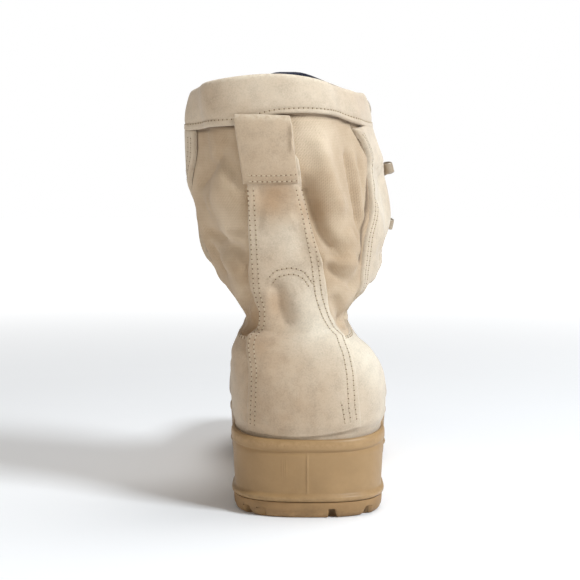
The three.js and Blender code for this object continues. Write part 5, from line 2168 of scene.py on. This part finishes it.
@dataclass
class Lace:
    """One lace through the lower eyelets: a bar over the lowest row, then crossings up to the top row."""

    hardware: Hardware
    radius: float = 1.9

    def point(self, side: int, v: float, beyond: float, out: float) -> list[float]:
        """Turn, level and lift of a point beyond the throat's edge; the inner side's turns pass a half."""
        u = float(self.hardware.throat.edge(side, np.array(v), beyond))
        return [u if side > 0 else u + 1.0, v, out]

    def strand(self, side: int) -> list[list[float]]:
        """Points of one half of the lace, from the lowest eyelet on one side up to the top row.

        Args:
            side: Side on which it starts.

        Returns:
            Turn, level and lift of each point.
        """
        rows = [row for row in reversed(HARDWARE_ROWS) if row.kind == "eyelet"]
        levels = {k: [self.hardware.spot(k, row.below)[1] for row in rows] for k in SIDES}
        points: list[list[float]] = []
        here = side
        over = 0.9 if side > 0 else -0.9
        v = levels[here][0]
        points += [
            self.point(here, v, 7.0, 4.4), self.point(here, v, 9.6, 3.0), self.point(here, v, 10.0, 0.0)
        ]
        points += [self.point(here, v, 9.0, -3.6), self.point(here, v + 0.1, 4.0, -4.5)]
        for step in range(len(rows) - 1):
            low, high = levels[here][step], levels[-here][step + 1]
            gap = high - low
            points.append(self.point(here, low + 0.22 * gap, -2.5, -1.7))
            points.append([0.5, 0.25 * sum(sum(levels[k][step:step + 2]) for k in SIDES), over * 2.0])
            here = -here
            points.append(self.point(here, low + 0.78 * gap, -2.5, -1.7))
            points.append(self.point(here, high - 0.1 * gap, 4.0, -4.5))
            points.append(self.point(here, high, 8.8, -3.6))
            if step < len(rows) - 2:
                points.append(self.point(here, high, 10.0, 0.0))
                points.append(self.point(here, high, 9.6, 3.8))
                points.append(self.point(here, high + 0.03 * gap, 6.0, 5.0))
                points.append(self.point(here, high + 0.08 * gap, 1.5, 3.6))
        last = levels[here][-1]
        points += [self.point(here, last, 10.0, -1.0), self.point(here, last, 10.2, 2.6)]
        points.append(self.point(here, last + 0.03, 9.8, 5.2))
        return points

    def make(self) -> Piece:
        """Build the lace as one braided tube.

        Returns:
            The new piece.
        """
        form = self.hardware.form
        first, second = self.strand(1), self.strand(-1)
        low, far = (self.hardware.spot(side, HARDWARE_ROWS[-1].below)[1] for side in SIDES)
        bar = [
            self.point(1, low, 0.0, 4.6), [0.5, 0.5 * (low + far) + 0.02, 4.8], self.point(-1, far, 0.0, 4.6)
        ]
        table = np.array(first[::-1] + bar + second)
        turn = (table[:, 0] + 0.5) % 1.0 - 0.5
        knots = form.surface(turn, table[:, 1]) + form.normal(turn, table[:, 1]) * table[:, 2:3]
        normals = form.normal(turn, table[:, 1])
        path = smooth_line(np.concatenate([knots, normals * 1e-3], axis=1), 760)
        spine, facing = path[:, :3], unit(path[:, 3:])
        ahead = unit(np.gradient(spine, axis=0))
        side = unit(np.cross(ahead, facing))
        up = np.cross(side, ahead)
        walked = walked_along(spine)
        end = np.minimum(walked, walked[-1] - walked)
        radius = self.radius * rounding(end, 1.2)[:, None]
        t = np.linspace(0.0, TAU, 19)[None, :]
        braid = 1.0 + 0.045 * np.cos(t * 6.0 + walked[:, None] * 2.6) * np.cos(
            t * 6.0 - walked[:, None] * 2.6
        )
        ring = radius * braid
        across, above = (ring * np.cos(t))[..., None], (ring * np.sin(t))[..., None]
        points = spine[:, None] + side[:, None] * across + up[:, None] * above
        maps = np.stack([t * self.radius + 0.0 * ring, walked[:, None] + 0.0 * t], axis=-1) * MM
        draft = Draft("braided_lace", [Finish.LACE])
        draft.patch(points, maps=maps)
        return settle(draft.build(self.hardware.materials), Finish.LACE, "lace")


class Seam(NamedTuple):
    """A row of stitches: places from the back line and below the collar, and its lift out of the skin."""

    places: tuple[tuple[float, float], ...]
    lift: float


BACK_SEAMS = (
    Seam(((-14.6, 52.6), (-4.0, 53.1), (6.0, 52.9), (12.4, 52.4)), 3.5),
    Seam(((-14.6, 56.0), (-4.0, 56.5), (6.0, 56.3), (12.4, 55.8)), 3.05),
    Seam(((-11.3, 111.7), (-5.1, 106.4), (2.7, 105.1), (9.1, 107.1), (13.8, 114.4)), 1.85),
    Seam(((-10.0, 115.4), (-4.4, 110.0), (2.7, 108.6), (8.0, 110.6), (12.0, 117.2)), 1.85),
    Seam(((18.2, 186.0), (19.6, 192.0), (20.6, 199.0)), 2.58),
)
BACK_ROWS_INNER = (
    (-12.6, 59.0), (-14.2, 82.0), (-15.7, 104.0), (-16.4, 118.0), (-14.4, 130.0), (-15.4, 138.0),
    (-19.8, 146.0), (-24.0, 155.0), (-26.8, 166.0), (-28.6, 178.0), (-30.2, 199.0),
)
BACK_ROWS_OUTER = (
    (10.8, 59.0), (13.0, 82.0), (14.4, 104.0), (14.2, 118.0), (16.6, 132.0), (20.6, 141.0), (23.8, 150.0),
    (24.2, 158.0), (22.6, 171.0), (22.4, 185.0), (23.8, 199.0),
)


@dataclass
class Stitching:
    """All sewn rows, gathered and built as one piece of thread; sizes in millimetres."""

    shaft: Shaft
    length: float = 1.95
    pitch: float = 2.75
    width: float = 0.36
    height: float = 0.2
    hole_length: float = 0.95
    hole_width: float = 0.42
    hole_height: float = 0.12
    rows: list[Array] = field(default_factory=list)
    holes: list[Array] = field(default_factory=list)

    def add(self, u: Array, v: Array, lift: Array | float) -> None:
        """Lay stitches along a line of the skin.

        Args:
            u: Turns of the line's points, close together.
            v: Levels of the same points.
            lift: Millimetres out of the skin.
        """
        form = self.shaft.form
        line = form.skin(u, v, lift)
        facing = form.normal(u, v)
        walked = walked_along(line)
        count = int((walked[-1] - self.length) / self.pitch)
        middles = 0.5 * self.length + self.pitch * np.arange(count + 1)
        self.rows.append(
            self.capsules(line, facing, walked, middles, self.length, self.width, self.height, 7, 6)
        )
        # The hole marks between the stitches paint the shade inside the needle holes.
        places = middles + 0.5 * self.pitch
        self.holes.append(
            self.capsules(
                line, facing, walked, places, self.hole_length, self.hole_width, self.hole_height, 5, 6
            )
        )

    @staticmethod
    def capsules(
        line: Array, facing: Array, walked: Array, middles: Array,
        length: float, width: float, height: float, rows: int, around: int,
    ) -> Array:
        """Small rounded bars along a line, with their ends bent down into the leather.

        A bar's section is an ellipse, swollen along it by the root of 1 less the fourth power of the way from
        its middle.

        Args:
            line: Points of the line.
            facing: Outward normals on it.
            walked: Distance walked to each point.
            middles: Distances of the bars' middles.
            length: Length of a bar.
            width: Half its width.
            height: Half its height.
            rows: Points along it.
            around: Points round it.

        Returns:
            A grid of points for each bar.
        """
        share = np.linspace(-0.5, 0.5, rows)
        places = middles[:, None] + share[None, :] * length
        spine = np.stack([np.interp(places, walked, line[:, k]) for k in range(3)], axis=-1)
        normals = unit(np.stack([np.interp(places, walked, facing[:, k]) for k in range(3)], axis=-1))
        ahead = unit(np.gradient(spine, axis=1))
        aside = np.cross(normals, ahead)
        swell = np.sqrt(np.maximum(0.0, 1.0 - (2.0 * share) ** 4))[None, :, None, None]
        t = np.linspace(0.0, TAU, around)[None, None, :, None]
        sink = -0.28 * (2.0 * share[None, :, None, None]) ** 4
        ring = aside[:, :, None] * (width * np.cos(t)) + normals[:, :, None] * (height * np.sin(t))
        return spine[:, :, None] + ring * swell + normals[:, :, None] * sink

    def along(self, places: Sequence[Sequence[float]], lift: float) -> None:
        """Lay stitches along a curve given by walked distances.

        Args:
            places: Walked from the back line and below the collar.
            lift: Millimetres out of the skin.
        """
        line = smooth_line(places, 160)
        u, v = self.shaft.form.spot(line[:, 0], line[:, 1])
        self.add(u, v, lift)

    def backstay(self) -> None:
        """Two rows inside either edge of the backstay; they run closer together than its edges."""
        for places, step in ((BACK_ROWS_INNER, -3.1), (BACK_ROWS_OUTER, 3.6)):
            for shift in (0.0, step):
                table = np.array(places) + [shift, 0.0]
                u, v = self.shaft.form.spot(*smooth_line(table, 400).T)
                self.add(u, v, lerp(1.84, 2.58, ease((9.35 - v) / 0.35)))

    def panels(self) -> None:
        """Two rows inside the rear edge of each side panel, and one along the throat."""
        form, throat, top = self.shaft.form, self.shaft.throat, self.shaft
        for side in (1, -1):
            level = np.linspace(9.7, 14.0, 260)
            drop = form.read(form.drop, np.full(level.shape, 0.22 * side), level)
            wide = top.panel_edge[side](np.clip(drop, 16.0, 104.0))
            for inset in (2.6, 5.4):
                self.add(form.turn_at(side * (wide + inset), level), level, 1.96)
            low = np.linspace(6.9, 14.1, 420)
            self.add(throat.edge(side, low, 3.0), low, lerp(1.94, 2.14, ease((9.7 - low) / 0.4)))

    def quarters(self) -> None:
        """Two rows under the lower leather's upper edge, and two along the seam to the vamp."""
        for below in (0.12, 0.26):
            for side in (1, -1):
                u = side * np.linspace(0.055, 0.33, 300)
                self.add(u, self.shaft.quarter_top(u) - below, 1.32)
        for side in (1, -1):
            for back in (0.006, 0.014):
                v = np.linspace(1.3, 6.1, 260)
                self.add(side * (VAMP_SEAM(v) - back), v, 1.32)

    def band(self) -> None:
        """One row above the collar band's lower edge."""
        form = self.shaft.form
        arc = np.linspace(-118.0, 112.0, 500)
        drop = self.shaft.band_edge(arc) * 0.86
        level = np.full(arc.shape, 14.2)
        u = form.turn_at(arc, level)
        self.add(u, form.level_below(u, drop), 2.1)

    def make(self) -> Piece:
        """Build all rows as one piece.

        Returns:
            The new piece.
        """
        self.backstay()
        self.panels()
        self.quarters()
        self.band()
        for seam in BACK_SEAMS:
            self.along(seam.places, seam.lift)
        draft = Draft("stitches", [Finish.THREAD, Finish.HOLE])
        draft.patch(np.concatenate(self.rows), slot=0)
        draft.patch(np.concatenate(self.holes), slot=1)
        return settle(draft.build(self.shaft.materials), Finish.SUEDE)


@dataclass(frozen=True)
class Studio:
    """Pale floor, soft lights, and the camera at the photograph's angle to the boot."""

    eye: tuple[float, float, float] = (14.2, -791.4, 177.0)
    heading: tuple[float, float] = (-0.082, 0.9966)
    pitch: float = 5.07
    row_focal: float = 815.0
    aim: tuple[float, float] = (331.0, 270.0)
    focal: float = 1355.0
    image: float = 580.0
    sensor: float = 36.0

    def camera(self) -> None:
        """Turn the camera about its place until the aimed pixel of the wider view is in the middle."""
        down = math.radians(self.pitch)
        flat = Vector((*self.heading, 0.0)).normalized()
        forward = flat * math.cos(down) + Vector((0.0, 0.0, -math.sin(down)))
        right = forward.cross(Vector((0.0, 0.0, 1.0))).normalized()
        up = right.cross(forward)
        half = 0.5 * self.image
        across = (self.aim[0] - half) / self.row_focal
        above = (half - self.aim[1]) / self.row_focal
        look = (forward + right * across + up * above).normalized()
        side = look.cross(Vector((0.0, 0.0, 1.0))).normalized()
        turn = Matrix((side, side.cross(look), -look)).transposed()
        data = bpy.data.cameras.new("camera")
        data.sensor_width = self.sensor
        data.lens = self.focal / self.image * self.sensor
        data.clip_start = 0.02
        camera = bpy.data.objects.new("camera", data)
        camera.matrix_world = Matrix.Translation(Vector(self.eye) * MM) @ turn.to_4x4()
        bpy.context.scene.collection.objects.link(camera)
        bpy.context.scene.camera = camera

    def floor(self) -> None:
        """Pale floor: rings about the boot that grow with distance."""
        radius = np.linspace(0.0, 1.0, 24)[:, None] ** 2 * 14.0
        turn = np.linspace(0.0, TAU, 49)[None, :]
        height = 0.0 * radius
        points = np.stack([radius * np.cos(turn), radius * np.sin(turn), height + 0.0 * turn], axis=-1)
        rows, columns = points.shape[:2]
        ids = np.arange(rows * columns).reshape(rows, columns)
        faces = np.stack([ids[:-1, :-1], ids[1:, :-1], ids[1:, 1:], ids[:-1, 1:]], axis=-1).reshape(-1, 4)
        mesh = bpy.data.meshes.new("floor")
        mesh.from_pydata(points.reshape(-1, 3).tolist(), [], faces.tolist())
        mesh.polygons.foreach_set("use_smooth", np.ones(len(mesh.polygons), dtype=bool))
        nodes = Paint("pale_floor")
        haze = nodes.add("TexNoise", {"Vector": nodes.place, "Scale": 3.0, "Detail": 4.0})
        tint = nodes.blend(haze.outputs["Fac"], (0.9, 0.9, 0.9, 1.0), (0.94, 0.94, 0.94, 1.0))
        away = nodes.add("VectorMath", {0: nodes.place}, operation="LENGTH").outputs["Value"]
        bright = nodes.add(
            "MapRange", {"Value": away, "From Min": 0.3, "From Max": 2.2}, interpolation_type="SMOOTHSTEP"
        )
        glow = nodes.blend(bright.outputs[0], (0.0, 0.0, 0.0, 1.0), (1.0, 1.0, 1.0, 1.0))
        glowing = {"Base Color": tint, "Emission Color": glow, "Emission Strength": 0.78, "Roughness": 0.7}
        mesh.materials.append(nodes.done(glowing))
        floor = bpy.data.objects.new("floor", mesh)
        bpy.context.scene.collection.objects.link(floor)

    def light(
        self, name: str, place: tuple[float, float, float], size: float, power: float,
        tint: tuple[float, float, float],
    ) -> None:
        """Add a square area light aimed at the boot; places in metres.

        Args:
            name: Name of the lamp.
            place: Its place.
            size: Its side.
            power: Watts.
            tint: Its colour.
        """
        data = bpy.data.lights.new(name, "AREA")
        data.size = size
        data.energy = power
        data.color = tint
        lamp = bpy.data.objects.new(name, data)
        lamp.location = place
        lamp.rotation_euler = (Vector((0.0, 0.0, 0.11)) - Vector(place)).to_track_quat("-Z", "Y").to_euler()
        bpy.context.scene.collection.objects.link(lamp)

    def make(self) -> None:
        """Place camera, floor, lights and a bright surround."""
        self.camera()
        self.floor()
        self.light("key", (1.05, -0.75, 1.2), 0.45, 26.0, (0.93, 1.0, 1.07))
        self.light("fill", (-1.3, -1.2, 0.7), 1.2, 4.6, (1.0, 0.88, 0.72))
        self.light("top", (0.3, 0.3, 1.6), 0.8, 9.0, (1.0, 1.0, 1.0))
        world = bpy.data.worlds.new("surround")
        world.use_nodes = True
        nodes = Nodes(world.node_tree)
        white = (1.0, 1.0, 1.0, 1.0)
        shade = nodes.fill(world.node_tree.nodes["Background"], {"Color": white, "Strength": 0.3})
        seen = nodes.add("Background", {"Color": white, "Strength": 1.0})
        camera_ray = nodes.add("LightPath").outputs["Is Camera Ray"]
        both = nodes.add("MixShader", {"Fac": camera_ray, 1: shade.outputs[0], 2: seen.outputs[0]})
        nodes.fill(world.node_tree.nodes["World Output"], {"Surface": both.outputs[0]})
        bpy.context.scene.world = world
        bpy.context.scene.view_settings.view_transform = "Standard"


def main() -> None:
    """Build the camera and stage, then the boot from the sole up."""
    logging.basicConfig(level=logging.INFO, format="%(message)s")
    Studio().make()
    materials = make_materials()
    sole_form = SoleForm(SoleSizes())
    form = UpperForm(sole_form, UpperSizes())
    throat = Throat(form)
    form.relief = relief_of(form, FOLDS)
    sole = Sole(sole_form, materials)
    for piece in (sole.foxing, sole.tread, sole.plate):
        piece()
    shaft = Shaft(form, throat, materials)
    for piece in (
        shaft.vamp, shaft.quarters, shaft.nylon, shaft.backstay_panel, shaft.band, shaft.pull_loop,
        shaft.lining, shaft.tongue,
    ):
        piece()
    for side in SIDES:
        shaft.side_panel(side)
    hardware = Hardware(form, throat, materials)
    hardware.make()
    Lace(hardware).make()
    Stitching(shaft).make()


if __name__ == "__main__":
    main()
